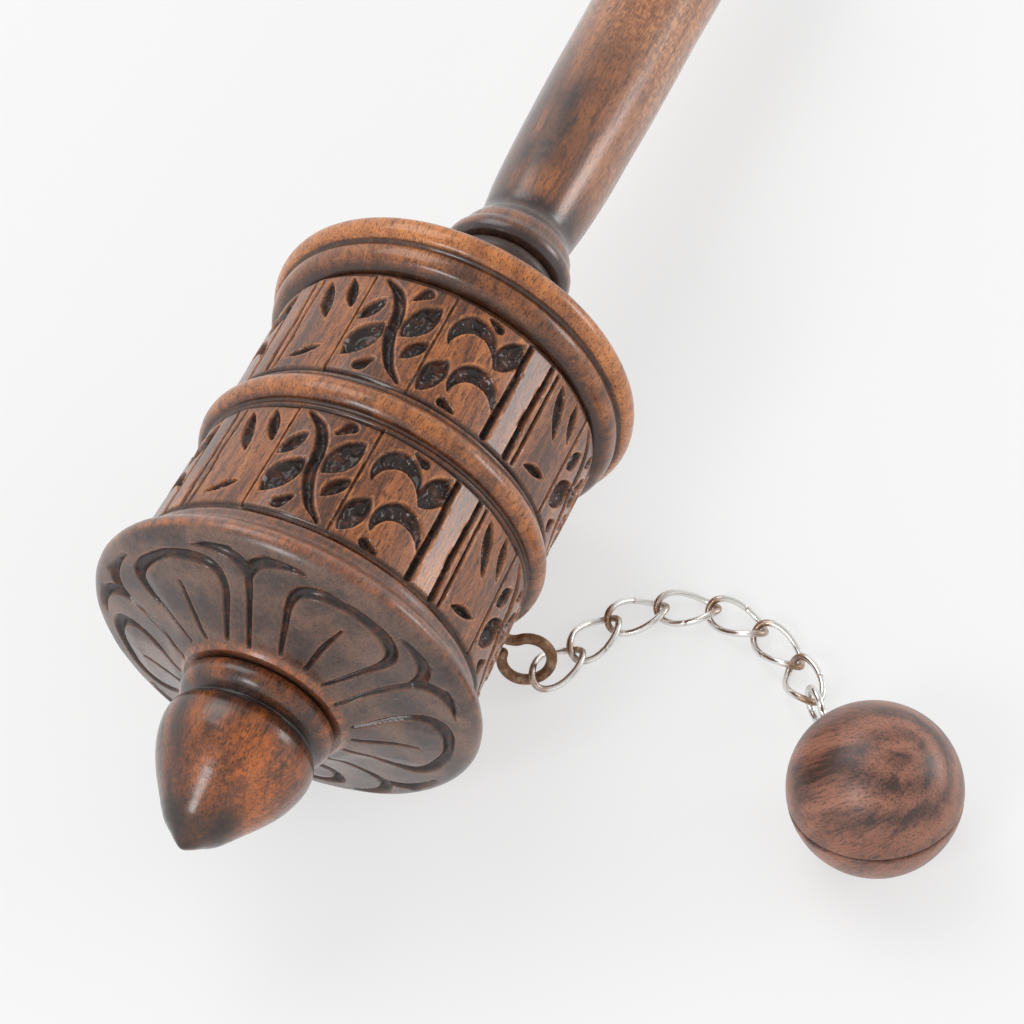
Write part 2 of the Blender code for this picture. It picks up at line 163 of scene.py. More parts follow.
def make_piece(name, rows, wrap, layers, node, body, material, sharp=55):
    """A closed mesh from rows of points round it, in mm, that stands for a CAD node.

    If wrap is true the last row joins the first. Otherwise the end rows close to single points.
    """
    count, steps, _ = rows.shape
    points = rows.reshape(-1, 3)
    column = np.arange(steps)
    following = (column + 1) % steps
    first_rows = np.arange(count if wrap else count - 1)[:, None] * steps
    next_rows = (first_rows + steps) % (count * steps)
    quads = np.stack(
        [first_rows + column, first_rows + following, next_rows + following, next_rows + column], axis=-1
    ).reshape(-1, 4)
    caps = []
    if not wrap:
        poles = len(points)
        points = np.vstack([points, rows[0].mean(0), rows[-1].mean(0)])
        last = (count - 1) * steps
        caps = np.stack([following, column, np.full(steps, poles)], axis=-1).tolist()
        caps += np.stack([last + column, last + following, np.full(steps, poles + 1)], axis=-1).tolist()
    corners = points[quads]
    volume = np.einsum("ij,ij->i", corners[:, 0], np.cross(corners[:, 1], corners[:, 2])).sum()
    volume += np.einsum("ij,ij->i", corners[:, 0], np.cross(corners[:, 2], corners[:, 3])).sum()
    faces = quads.tolist() + caps
    if volume < 0:
        faces = [face[::-1] for face in faces]
    mesh = bpy.data.meshes.new(name)
    mesh.from_pydata((points * MM).tolist(), [], faces)
    for layer, values in layers.items():
        flat = np.zeros(len(points), np.float32)
        flat[: count * steps] = np.broadcast_to(values, (count, steps)).ravel()
        mesh.attributes.new(layer, "FLOAT", "POINT").data.foreach_set("value", flat)
    mesh.shade_smooth()
    mesh.set_sharp_from_angle(angle=math.radians(sharp))
    mesh.materials.append(material)
    piece = bpy.data.objects.new(name, mesh)
    bpy.context.scene.collection.objects.link(piece)
    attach(piece, body)
    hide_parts(node)
    return piece


def turned(name, profile, steps, node, body, material, relief=None, wrap=False, sharp=55):
    """A piece turned on the spindle's axis from (station, radius) rows, with an optional carved relief.

    relief(station, radius, angle) gives how far the surface stands out, in mm, and its named layers.
    """
    profile = np.asarray(profile, float)
    x = profile[:, 0]
    r = profile[:, 1]
    if wrap:
        dx = np.roll(x, -1) - np.roll(x, 1)
        dr = np.roll(r, -1) - np.roll(r, 1)
    else:
        dx = np.gradient(x)
        dr = np.gradient(r)
    length = np.hypot(dx, dr) + 1e-9
    area = np.sum(x * np.roll(r, -1) - np.roll(x, -1) * r)
    outward = 1 if area > 0 else -1
    normal_x = outward * dr / length
    normal_r = -outward * dx / length
    angle = 2 * np.pi * np.arange(steps)[None, :] / steps
    offset = np.zeros((len(x), steps))
    layers = {}
    if relief:
        offset, layers = relief(x[:, None], r[:, None], angle)
        offset = np.broadcast_to(offset, (len(x), steps))
    station = x[:, None] + offset * normal_x[:, None]
    radius = r[:, None] + offset * normal_r[:, None]
    rows = np.stack([station, radius * np.cos(angle), radius * np.sin(angle)], axis=-1)
    return make_piece(name, rows, wrap, layers, node, body, material, sharp)


def sweep(path, radius, sides, closed):
    """Rows of points round a wire along the path. radius may change along it. Open ends are rounded."""
    path = np.asarray(path, float)
    count = len(path)
    radius = np.broadcast_to(radius, count).astype(float)
    if closed:
        tangents = np.roll(path, -1, axis=0) - np.roll(path, 1, axis=0)
    else:
        tangents = np.gradient(path, axis=0)
    tangents /= np.linalg.norm(tangents, axis=1)[:, None]
    across = np.cross(tangents[0], (0.31, 0.52, 0.79))
    across /= np.linalg.norm(across)
    firsts = []
    for tangent in tangents:
        across = across - tangent * np.dot(across, tangent)
        across /= np.linalg.norm(across)
        firsts.append(across)
    firsts = np.array(firsts)
    seconds = np.cross(tangents, firsts)
    turn = np.zeros(count)
    if closed:
        last = firsts[-1] - tangents[0] * np.dot(firsts[-1], tangents[0])
        miss = math.atan2(np.dot(last, seconds[0]), np.dot(last, firsts[0]))
        turn = -miss * np.arange(count) / count
    angle = 2 * np.pi * np.arange(sides)[None, :] / sides + turn[:, None]
    ring = np.cos(angle)[..., None] * firsts[:, None] + np.sin(angle)[..., None] * seconds[:, None]
    rows = path[:, None] + ring * radius[:, None, None]
    if closed:
        return rows
    lifts = np.radians((80, 60, 40, 20))[:, None, None]

    def rounded(end, way):
        reach = way * tangents[end] * np.sin(lifts) + ring[end] * np.cos(lifts)
        return path[end] + reach * radius[end]

    return np.concatenate([rounded(0, -1), rows, rounded(-1, 1)[::-1]])


# ---------------- materials

def shade_of(red, green, blue):
    """A colour given as it looks on a screen, 0 to 255, for use in a shader."""
    values = []
    for channel in (red, green, blue):
        share = channel / 255
        values.append(share / 12.92 if share <= 0.04045 else ((share + 0.055) / 1.055) ** 2.4)
    return (*values, 1)



class Finish:
    """A procedural material being put together."""

    def __init__(self, name):
        self.material = bpy.data.materials.new(name)
        self.material.use_nodes = True
        self.tree = self.material.node_tree
        self.shader = self.tree.nodes["Principled BSDF"]
        self.place = self.tree.nodes.new("ShaderNodeTexCoord").outputs["Object"]

    def put(self, socket, value):
        if isinstance(value, bpy.types.NodeSocket):
            self.tree.links.new(value, socket)
        else:
            socket.default_value = value

    def add(self, kind, **inputs):
        """A new node with the named inputs set. In a name, _ stands for a space."""
        node = self.tree.nodes.new("ShaderNode" + kind)
        for name, value in inputs.items():
            self.put(node.inputs[name.replace("_", " ")], value)
        return node

    def scaled(self, scale, turn=(0, 0, 0), shift=(0, 0, 0)):
        """Object coordinates in metres, multiplied by scale along each axis."""
        node = self.add("Mapping", Vector=self.place, Location=shift, Rotation=turn, Scale=scale)
        return node.outputs["Vector"]

    def noise(self, scale, detail=2.0, roughness=0.5, distortion=0.0):
        """Noise with that many cells to the metre, the same along each axis or three numbers."""
        scales = scale if isinstance(scale, tuple) else (scale, scale, scale)
        node = self.add("TexNoise", Vector=self.scaled(scales), Scale=1, Detail=detail,
                        Roughness=roughness, Distortion=distortion)
        return node.outputs["Fac"]

    def rings(self, vector, distortion, detail_scale):
        """Growth rings round the X axis."""
        node = self.add("TexWave", Vector=vector, Scale=1, Distortion=distortion, Detail=3,
                        Detail_Scale=detail_scale)
        node.wave_type = "RINGS"
        node.rings_direction = "X"
        return node.outputs["Fac"]

    def layer(self, name):
        node = self.add("Attribute")
        node.attribute_name = name
        return node.outputs["Fac"]

    def spread(self, value, low, high, to_low=0.0, to_high=1.0):
        """The value, taken smoothly from low and high to two other ends."""
        node = self.add("MapRange", Value=value, From_Min=low, From_Max=high, To_Min=to_low, To_Max=to_high)
        node.interpolation_type = "SMOOTHSTEP"
        return node.outputs["Result"]

    def maths(self, operation, *values):
        node = self.add("Math")
        node.operation = operation
        for socket, value in zip(node.inputs, values):
            self.put(socket, value)
        return node.outputs[0]

    def times(self, first, second):
        return self.maths("MULTIPLY", first, second)

    def weighted(self, value, weight, base):
        """base plus value, where value counts by its weight and its middle, 0.5, changes nothing."""
        return self.maths("ADD", self.maths("MULTIPLY_ADD", value, weight, -weight / 2), base)

    def mix(self, share, first, second):
        node = self.add("Mix")
        node.data_type = "RGBA"
        for socket, value in (("Factor", share), (6, first), (7, second)):
            self.put(node.inputs[socket], value)
        return node.outputs[2]

    def blend3(self, value, low, middle, high):
        """A colour ramp of three colours."""
        node = self.add("ValToRGB", Fac=value)
        stops = node.color_ramp.elements
        stops[0].position = 0.28
        stops[0].color = low
        stops[1].position = 0.72
        stops[1].color = high
        stops.new(0.5).color = middle
        return node.outputs["Color"]

    def bump(self, height, distance, strength=1.0, normal=None):
        node = self.add("Bump", Strength=strength, Distance=distance * MM, Height=height)
        if normal:
            self.put(node.inputs["Normal"], normal)
        return node.outputs["Normal"]

    def done(self, colour, roughness, normal, **fixed):
        self.put(self.shader.inputs["Base Color"], colour)
        self.put(self.shader.inputs["Roughness"], roughness)
        self.put(self.shader.inputs["Normal"], normal)
        for socket, value in fixed.items():
            self.shader.inputs[socket.replace("_", " ")].default_value = value
        return self.material


def wood(name, light, middle, dark, stain, worn_and_lit, grain=1.0, streaks=0.5, flecks=0.5, ring_size=3.0,
         ring_share=0.22, gloss=0.4, coat=0.2, coat_rough=0.2, shift=(0, 0, 0), place_turn=(0, 0, 0)):
    """Oiled, turned hardwood with its grain along X, from five colours.

    The mesh layers carve, shade and wear say where it is cut in, where stain has settled and where wear has
    paled it. On the handle's +Y side and round the upper side of the lid's rim, wear also carries painted
    light.
    """
    light, middle, dark, stain, worn_and_lit = [shade_of(*colour) for colour in (light, middle, dark, stain, worn_and_lit)]
    finish = Finish(name)
    finish.place = finish.scaled((1, 1, 1), place_turn, shift)
    broad = finish.noise((30 * grain, 150 * grain, 150 * grain), 4, 0.6, 0.8)
    streak = finish.noise((80 * grain, 1050 * grain, 1050 * grain), 5, 0.65, 0.3)
    fleck = finish.noise((560, 3600, 3600))
    speckle = finish.noise(2300, 2, 0.6)
    ring_scale = 1000 / ring_size / 6.28
    rings = finish.rings(finish.scaled((ring_scale * 0.12, ring_scale, ring_scale)), 5.0, 0.8)

    tone = finish.weighted(streak, 0.9, broad)
    tone = finish.weighted(rings, ring_share, tone)
    tone = finish.weighted(speckle, 0.35, tone)
    colour = finish.blend3(tone, dark, middle, light)
    colour = finish.mix(finish.spread(streak, 0.5, 0.68, 0.0, streaks), colour, dark)
    colour = finish.mix(finish.spread(fleck, 0.55, 0.64, 0.0, flecks), colour, stain)

    carve = finish.layer("carve")
    patch = finish.noise(700, 3, 0.6)
    rubbed_and_lit = finish.times(finish.layer("wear"), finish.spread(patch, 0.35, 0.65, 0.2, 1.0))
    rubbed_and_lit = finish.times(rubbed_and_lit, finish.spread(fleck, 0.64, 0.5, 0.35, 1.0))
    rubbed_and_lit = finish.times(rubbed_and_lit, finish.spread(streak, 0.64, 0.46, 0.35, 1.0))
    # The pale colour here lays both wear and painted light.
    colour = finish.mix(rubbed_and_lit, colour, worn_and_lit)
    settled = finish.times(finish.layer("shade"), finish.spread(patch, 0.2, 0.6, 0.7, 1.0))
    colour = finish.mix(settled, colour, stain)
    floor_patch = finish.noise(420, 3, 0.6)
    pit = finish.mix(finish.spread(floor_patch, 0.48, 0.66), shade_of(36, 22, 16), shade_of(82, 40, 22))
    colour = finish.mix(carve, colour, pit)

    rough = finish.spread(streak, 0.3, 0.75, gloss - 0.06, gloss + 0.12)
    rough = finish.maths("ADD", rough, finish.times(carve, 0.4))
    cut_height = finish.times(finish.noise(1500, 4, 0.65), carve)
    normal = finish.bump(streak, 0.05, 0.5)
    normal = finish.bump(finish.times(fleck, -1.0), 0.07, 0.6, normal)
    normal = finish.bump(cut_height, 0.6, 1.0, normal)
    return finish.done(colour, rough, normal, Coat_Weight=coat, Coat_Roughness=coat_rough,
                       Specular_IOR_Level=0.35)


def metal(name, bright, tarnish, spread_low, spread_high, roughness, worn_rough):
    """Plated or bare metal: the layer wear holds tarnish."""
    finish = Finish(name)
    spots = finish.noise(900, 4, 0.65)
    fine = finish.noise(4500, 3, 0.6)
    dirt = finish.maths("ADD", finish.spread(spots, spread_low, spread_high), finish.layer("wear"))
    dirt = finish.maths("MINIMUM", dirt, 1.0)
    dirt = finish.times(dirt, finish.spread(fine, 0.25, 0.6, 0.45, 1.0))
    colour = finish.mix(dirt, shade_of(*bright), shade_of(*tarnish))
    rough = finish.spread(dirt, 0.0, 1.0, roughness, worn_rough)
    normal = finish.bump(fine, 0.03, 0.5)
    normal = finish.bump(spots, 0.08, 0.35, normal)
    return finish.done(colour, rough, normal, Metallic=1.0)


def rust(name):
    """Brown iron with pale scale and dark pits."""
    finish = Finish(name)
    blotch = finish.noise(420, 4, 0.65)
    grit = finish.noise(2600, 3, 0.6)
    colour = finish.blend3(blotch, shade_of(92, 58, 34), shade_of(130, 94, 66), shade_of(176, 150, 122))
    colour = finish.mix(finish.spread(grit, 0.52, 0.7, 0.0, 0.7), colour, shade_of(60, 38, 24))
    rough = finish.spread(blotch, 0.3, 0.7, 0.62, 0.42)
    normal = finish.bump(grit, 0.12, 0.8)
    normal = finish.bump(blotch, 0.25, 0.6, normal)
    return finish.done(colour, rough, normal, Metallic=0.45)


def paper_finish(name):
    finish = Finish(name)
    fibre = finish.noise((1800, 600, 600), 4, 0.7)
    age = finish.noise(90, 3, 0.6)
    colour = finish.blend3(age, shade_of(190, 160, 112), shade_of(222, 200, 158), shade_of(236, 220, 184))
    # The layer shade darkens the paper roll's low steps as painted shade, and the card's seam line.
    colour = finish.mix(finish.layer("shade"), colour, shade_of(140, 108, 66))
    colour = finish.mix(finish.spread(fibre, 0.5, 0.75, 0.0, 0.35), colour, shade_of(176, 148, 104))
    return finish.done(colour, finish.spread(fibre, 0.2, 0.8, 0.75, 0.95), finish.bump(fibre, 0.05, 0.6))


def cloth_finish(name, light, dark):
    """Plain weave: threads round and along the roll. The layer shade says how deep a place lies, and the
    deeper places get painted shade.
    """
    finish = Finish(name)
    light = shade_of(*light)
    dark = shade_of(*dark)
    soil = finish.noise(140, 4, 0.6)
    fuzz = finish.noise(3500, 3, 0.7)
    colour = finish.mix(finish.spread(soil, 0.35, 0.7), light, dark)
    colour = finish.mix(finish.times(finish.layer("shade"), 0.6), colour, dark)
    colour = finish.mix(finish.spread(fuzz, 0.5, 0.75, 0.0, 0.3), colour, dark)
    rough = finish.spread(fuzz, 0.2, 0.8, 0.8, 0.95)
    return finish.done(colour, rough, finish.bump(fuzz, 0.07, 0.7), Sheen_Weight=0.3)


def table_finish():
    """A lit white sweep: part of its light is its own, so that shadows on it stay pale."""
    finish = Finish("pale_table")
    drift = finish.noise(3)
    tooth = finish.noise(900)
    colour = finish.mix(drift, shade_of(144, 144, 144), shade_of(147, 147, 147))
    finish.shader.inputs["Emission Color"].default_value = (1, 1, 1, 1)
    return finish.done(colour, finish.spread(tooth, 0.3, 0.7, 0.8, 0.9), finish.bump(tooth, 0.01, 0.2),
                       Emission_Strength=0.59, Specular_IOR_Level=0.1)


# ---------------- carved ornament

FAR = 99.0                                 # farther than any cut


def nearest(*distances):
    """The smallest of several signed distances, point by point."""
    return np.minimum.reduce(np.broadcast_arrays(*distances))


def cut_in(distance, block, cuts):
    """Adds cuts to a block of the grid of distances."""
    distance[block] = np.minimum(distance[block], cuts)


def capsule(u, v, start, end, width_start, width_end):
    """Signed distance to a bar with round ends, from one half width to another."""
    du = end[0] - start[0]
    dv = end[1] - start[1]
    share = np.clip(((u - start[0]) * du + (v - start[1]) * dv) / (du * du + dv * dv), 0, 1)
    distance = np.hypot(u - start[0] - share * du, v - start[1] - share * dv)
    return distance - (width_start + (width_end - width_start) * share)


def crescent(u, v, centre, radius, bite, bite_radius):
    """Signed distance to a disc with another disc bitten out of it."""
    disc = np.hypot(u - centre[0], v - centre[1]) - radius
    gap = np.hypot(u - bite[0], v - bite[1]) - bite_radius
    return np.maximum(disc, -gap)


def leaf(u, v, start, end, width):
    """Signed distance to a pointed oval between two points."""
    middle_u = (start[0] + end[0]) / 2
    middle_v = (start[1] + end[1]) / 2
    half = math.hypot(end[0] - start[0], end[1] - start[1]) / 2
    along_u = (end[0] - start[0]) / (2 * half)
    along_v = (end[1] - start[1]) / (2 * half)
    along = (u - middle_u) * along_u + (v - middle_v) * along_v
    side = (v - middle_v) * along_u - (u - middle_u) * along_v
    radius = (half * half + width * width / 4) / width
    return np.hypot(along, np.abs(side) + radius - width / 2) - radius


def stroke(u, v, points, widths):
    """Signed distance to a smooth cut whose half width changes along it."""
    path = curve_through(np.column_stack([points, widths]), 0.8)
    distance = np.full(np.broadcast(u, v).shape, FAR)
    for (u0, v0, w0), (u1, v1, w1) in zip(path, path[1:]):
        distance = np.minimum(distance, capsule(u, v, (u0, v0), (u1, v1), w0, w1))
    return distance


def vine_panel(u, v):
    """A slender winding stem with leaves on both sides and a seed in each free corner."""
    stem = [(-5.4, 1.4), (-2.6, 4.4), (-0.3, 9.6), (0.3, 14.2), (2.1, 18.8), (5.2, 21.4)]
    return nearest(
        stroke(u, v, stem, [0.4, 0.9, 1.15, 1.15, 0.9, 0.4]),
        leaf(u, v, (-1.9, 10.2), (-6.1, 18.9), 4.8),
        leaf(u, v, (1.6, 12.2), (6.2, 3.8), 4.8),
        leaf(u, v, (-3.7, 6.0), (-6.8, 11.4), 2.7),
        leaf(u, v, (3.5, 17.4), (6.7, 11.6), 2.9),
        capsule(u, v, (-2.4, 20.4), (-0.9, 18.6), 1.3, 0.55),
        capsule(u, v, (1.9, 2.4), (0.5, 4.2), 1.3, 0.55),
    )


def moon_panel(u, v):
    """Two fat crescents that open the same way, with pointed leaves and seeds beside them."""
    return nearest(
        crescent(u, v, (-2.0, 7.2), 4.7, (-2.7, 4.4), 4.1),
        crescent(u, v, (1.9, 15.6), 4.7, (1.2, 12.8), 4.1),
        leaf(u, v, (-6.4, 21.2), (-3.4, 12.9), 4.4),
        leaf(u, v, (6.4, 1.6), (3.9, 9.9), 4.2),
        capsule(u, v, (-1.2, 20.6), (0.8, 21.3), 1.1, 0.5),
        capsule(u, v, (1.5, 1.9), (-0.7, 1.4), 1.1, 0.5),
    )


def chip_panel(u, v):
    """A plain face with slanting chip cuts and a fine upright line."""
    return nearest(
        leaf(u, v, (-0.8, 11.6), (2.9, 21.2), 2.6),
        leaf(u, v, (-4.9, 14.2), (-2.0, 21.6), 2.3),
        leaf(u, v, (-3.4, 5.4), (2.8, 3.0), 1.9),
        capsule(u, v, (4.7, 1.0), (4.7, 21.4), 0.4, 0.4),
    )


BAND_LENGTH = 22.6
BANDS = (LID_X - 6.6, LID_X - 37.3)        # the lid end of each carved band
REPEATS = 4
PANELS = (                                 # from one divider to the next, in degrees
    (17.0, 41.5, chip_panel),
    (51.0, 79.0, moon_panel),
    (79.0, 107.0, vine_panel),
)
PANEL_LINES = (79.0, 107.0)                # fine lines between panels, in degrees
PANEL_LINE_HALF_WIDTH = 0.26
BAR_LINES = ((41.5, 0.75), (51.0, 0.8))    # deep lines beside the raised bar: degrees and half width
CUT_DEPTH = 1.6
RING_GROOVES = (-6.9, -28.95, -37.3, -59.7)
BEAD_GROOVE = 2.9                          # from the bead's middle
DEGREE_LENGTH = 0.54                       # about one degree round the drum, in mm
EYE_DEGREES = -45                          # where the screw eye goes into the bead
FINE = 0.24
ROUND_STEPS = 840


def cut_relief(distance, depth, wall):
    """How far a cut goes in, and its layers, from the signed distance to its edge."""
    inside = np.clip(-distance, 0, None)
    level = depth * (1 - np.exp(-inside / wall))
    carve = smoothstep(-0.05, 0.24, -distance)
    wear = ridge(distance, 0.12, 0.2) * (distance > -0.1)
    return level, carve, wear


def carve_panels(distance, face, rows, v, degrees, repeat):
    """One repeat's panels. Noise makes their cuts wander a little, as if by hand."""
    for number, (low, high, pattern) in enumerate(PANELS):
        half = (high - low) / 2
        offset = around(degrees, (low + high) / 2 + 360 / REPEATS * repeat)
        columns = np.abs(offset) <= half
        u = np.radians(offset[columns])[None, :] * BODY_R
        seed = 10 * repeat + number
        sway = 0.5 * (patchy(u + 40, v, 4.0, seed) - 0.5)
        sink = 0.5 * (patchy(u + 40, v, 4.0, seed + 100) - 0.5)
        block = np.ix_(rows, columns)
        cut_in(distance, block, pattern(u + sway, v + sink))
        face[block] = 0.14 * np.sin(offset[columns] / half * 1.5)[None, :]


def carve_lines(distance, rows, v, degrees, repeat):
    """One repeat's upright lines."""
    turn = 360 / REPEATS * repeat
    for divider in PANEL_LINES:
        u = np.radians(around(degrees, divider + turn))[None, :] * BODY_R
        cut_in(distance, rows, np.abs(u) - PANEL_LINE_HALF_WIDTH)
    for divider, half_width in BAR_LINES:
        u = np.radians(around(degrees, divider + turn))[None, :] * BODY_R
        wobble = 0.35 * (patchy(v, np.full_like(u, divider), 3.0, 7 + repeat) - 0.5)
        cut_in(distance, rows, capsule(u + wobble, v, (0, 1.2), (0, 21.6), half_width, half_width * 0.75))


def drum_relief(x, r, angle):
    """Two carved bands with ring grooves beside them, and the bead between."""
    outside = (r > BODY_R - 1.5).astype(float)
    degrees = np.degrees(angle)
    shape = np.broadcast(x, angle).shape
    distance = np.full(shape, FAR)
    face = np.zeros(shape)
    for lid_end in BANDS:
        v = lid_end - x
        rows = ((v > 0) & (v < BAND_LENGTH) & (r > BODY_R - 0.5))[:, 0]
        for repeat in range(REPEATS):
            carve_panels(distance, face, rows, v[rows], degrees[0], repeat)
            carve_lines(distance, rows, v[rows], degrees[0], repeat)
    level, carve, wear = cut_relief(distance, CUT_DEPTH, 0.42)
    girth = degrees * DEGREE_LENGTH
    chatter = patchy(girth, x, 0.55, 3)
    gouge = patchy(girth + x * 0.7, x - degrees * 0.3, 1.3, 4)
    level = level + carve * (0.3 * (chatter - 0.5) + 0.5 * (gouge - 0.5))
    stations = [LID_X + groove for groove in RING_GROOVES]
    ring_depth = 0.6 * sum(ridge(x, station, 0.3) for station in stations)
    ring_dark = sum(ridge(x, station, 0.34) for station in stations)
    stain = 0.8 * sum(ridge(x, station, 0.6) for station in stations)
    for station in (BEAD_X - BEAD_GROOVE, BEAD_X + BEAD_GROOVE):
        ring_depth = ring_depth + 0.35 * ridge(x, station, 0.28)
        stain = stain + 0.9 * ridge(x, station, 0.45)
    crest = smoothstep(BEAD_R - 1.1, BEAD_R - 0.1, r)
    from_eye = np.radians(around(degrees, EYE_DEGREES)) * BEAD_R
    dimple = smoothstep(1.55, 1.15, np.hypot(from_eye, x - BEAD_X))
    depth = level + ring_depth + 0.8 * dimple
    uneven = 0.08 * (patchy(girth, x, 5.0, 21) - 0.5)
    layers = {
        "carve": np.clip(np.maximum(np.maximum(carve, dimple), 0.9 * ring_dark), 0, 1) * outside,
        "shade": np.clip(stain, 0, 1) * outside,
        "wear": np.clip(wear * 0.8 + 0.5 * crest, 0, 1) * outside,
    }
    return (face + uneven - depth) * outside, layers


def make_drum_shell(material):
    outer = dense(np.vstack([
        [(SHELL_LID_X, BODY_R - 0.6), (SHELL_LID_X - 0.4, BODY_R), (BEAD_X + 3.1, BODY_R - 0.35)],
        arc(BEAD_X, BEAD_R - 3.0, 3.0, 22, 158, 30),
        [(BEAD_X - 3.1, BODY_R - 0.35), (SHELL_BASE_X + 0.4, BODY_R), (SHELL_BASE_X, BODY_R - 0.6)],
    ]), FINE)
    bore = dense([(SHELL_BASE_X, CAVITY_R + 0.5), (SHELL_BASE_X + 0.5, CAVITY_R)], 1)
    bore = np.vstack([bore, dense([(SHELL_BASE_X + 9, CAVITY_R), (SHELL_LID_X - 0.5, CAVITY_R)], 9)])
    profile = np.vstack([outer, [(SHELL_BASE_X, BODY_R - 2.5)], bore, [(SHELL_LID_X, CAVITY_R + 0.5)],
                         [(SHELL_LID_X, BODY_R - 2.5)]])
    turned("drum_shell_carved", profile, ROUND_STEPS, "drum_shell", "drum", material,
           drum_relief, wrap=True)


def base_relief(x, r, angle):
    crest = ridge(r, RIM_R, 0.9) * (x > BASE_X - 1.5)
    lid_side = x > BASE_X
    lines = ridge(x, BASE_X + 2.6, 0.42)
    stain = (0.75 * lines + 0.3) * lid_side * (r < 33.9) + 0.6 * smoothstep(30.5, 27, r) * (x < BASE_X)
    stain = stain + 0.8 * ridge(x, SHELL_BASE_X - 0.4, 0.7)
    uneven = 0.07 * (patchy(np.degrees(angle) * 0.6, x, 6.0, 31) - 0.5)
    lathe_rings = 0.05 * np.sin(r * 5.0) * (x < BASE_X - 3)
    layers = {"shade": np.clip(stain, 0, 0.95), "wear": 0.6 * crest}
    return uneven + lathe_rings - 0.4 * lines * lid_side, layers


def make_drum_base(material):
    bush_hole = BUSH_R + GAP
    end = SHELL_BASE_X + SPIGOT_DEPTH
    rim = [(6.8, 31.7), (6.1, 32.6), (5.0, 33.2), (3.8, 33.4), (2.7, 33.3), (2.1, 33.9), (1.1, 34.6),
           (-0.2, 35.0), (-1.6, 34.75), (-2.6, 33.7), (-3.0, 32.2), (-3.1, 29.5), (-3.6, 26.0)]
    profile = np.vstack([
        dense([(BASE_BACK_X, bush_hole), (end, bush_hole), (end, SPIGOT_R)], 3),
        [(SHELL_BASE_X - GAP, SPIGOT_R), (SHELL_BASE_X - GAP, 30.4), (SHELL_BASE_X - 0.6, 31.0)],
        curve_through(shifted(BASE_X, rim), 0.3),
        dense([(BASE_BACK_X, 25.5), (BASE_BACK_X, bush_hole + 0.4)], 1.0),
    ])
    turned("drum_base_turned", profile, 360, "drum_base", "drum", material, base_relief,
           wrap=True, sharp=40)


PETALS = (-11.0, 59.5, 126.0, 196.0, 272.0)
PETAL_GAPS = (27.0, 95.5, 161.0, 234.0, 310.0)
PETAL_EDGE = ((15.2, 4.2), (19.0, 6.3), (23.5, 8.6), (27.0, 8.7), (29.4, 5.9), (30.3, 2.2), (30.5, 0.0))
PETAL_EDGE_WIDTHS = (0.45, 0.65, 0.85, 1.15, 1.15, 0.95, 0.9)
PETAL_VEIN = ((16.0, 0.0), (21.0, 0.25), (25.8, 0.0))
GAP_LINE = ((15.0, 0.0), (21.0, 0.15), (28.2, 0.0))
GAP_FORK = ((27.6, 0.1), (29.9, 1.0), (31.3, 3.4), (31.3, 7.0), (30.4, 10.2))


def lid_sector(degrees, radius, centre, reach):
    """The columns within reach of an angle, and how far out and across from it their points are, in mm."""
    offset = around(degrees, centre)
    columns = np.abs(offset) < reach
    turn = np.radians(offset[columns])[None, :]
    return columns, radius * np.cos(turn), radius * np.sin(turn)


def lid_relief(x, r, angle):
    """Five carved petals with forked cuts between them, round the finial's seat."""
    rows = ((r > 14.6) & (r < 33.2) & (x > LID_X + 1.5))[:, 0]
    shape = np.broadcast(x, angle).shape
    distance = np.full(shape, FAR)
    degrees = np.degrees(angle)
    swell = np.zeros(shape)
    for number, centre in enumerate(PETALS):
        columns, out, across = lid_sector(degrees[0], r[rows], centre, 38)
        out = out + 0.5 * (patchy(out, across + 50, 5.0, number + 60) - 0.5)
        across = across + 0.6 * (patchy(out, across + 50, 5.0, number + 70) - 0.5)
        edge = stroke(out, np.abs(across), PETAL_EDGE, PETAL_EDGE_WIDTHS)
        block = np.ix_(rows, columns)
        cut_in(distance, block, nearest(edge, stroke(out, across, PETAL_VEIN, [0.5, 0.55, 0.3])))
        inside = smoothstep(8.6, 5.0, np.abs(across)) * smoothstep(30, 26, out) * smoothstep(15, 19, out)
        swell[block] = np.maximum(swell[block], 0.35 * inside)
    for number, centre in enumerate(PETAL_GAPS):
        columns, out, across = lid_sector(degrees[0], r[rows], centre, 26)
        out = out + 0.4 * (patchy(out, across + 50, 5.0, number + 80) - 0.5)
        line = stroke(out, across, GAP_LINE, [0.5, 0.6, 0.8])
        fork = stroke(out, np.abs(across), GAP_FORK, [0.7, 1.15, 1.05, 0.6, 0.15])
        cut_in(distance, np.ix_(rows, columns), nearest(line, fork))
    level, carve, wear = cut_relief(distance, 1.15, 0.55)
    crest = smoothstep(RIM_R - 1.6, RIM_R - 0.3, r) * smoothstep(LID_X + 1.6, LID_X + 0.5, x)
    # The rim's edge is paled by wear. The extra paling round 115 degrees, the side that faces up in the
    # camera's view, is painted light, and it leaves the right side darker.
    crest = crest * (x > LID_X - 3.2) * (0.4 + 0.45 * ridge(degrees, 115, 50))
    seat = ridge(r, 14.4, 0.75) * (x > LID_X + 7)
    under = smoothstep(34.2, 32.2, r) * (x < LID_X - 1.5) * (r > 28)
    uneven = 0.1 * (patchy(r * np.cos(angle), r * np.sin(angle), 4.0, 41) - 0.5)
    layers = {
        "carve": carve,
        "shade": 0.3 * under,
        "wear": np.clip(0.4 * wear + crest + 0.9 * seat + 0.8 * under, 0, 1),
    }
    return (swell - level + uneven) * (r > 14), layers


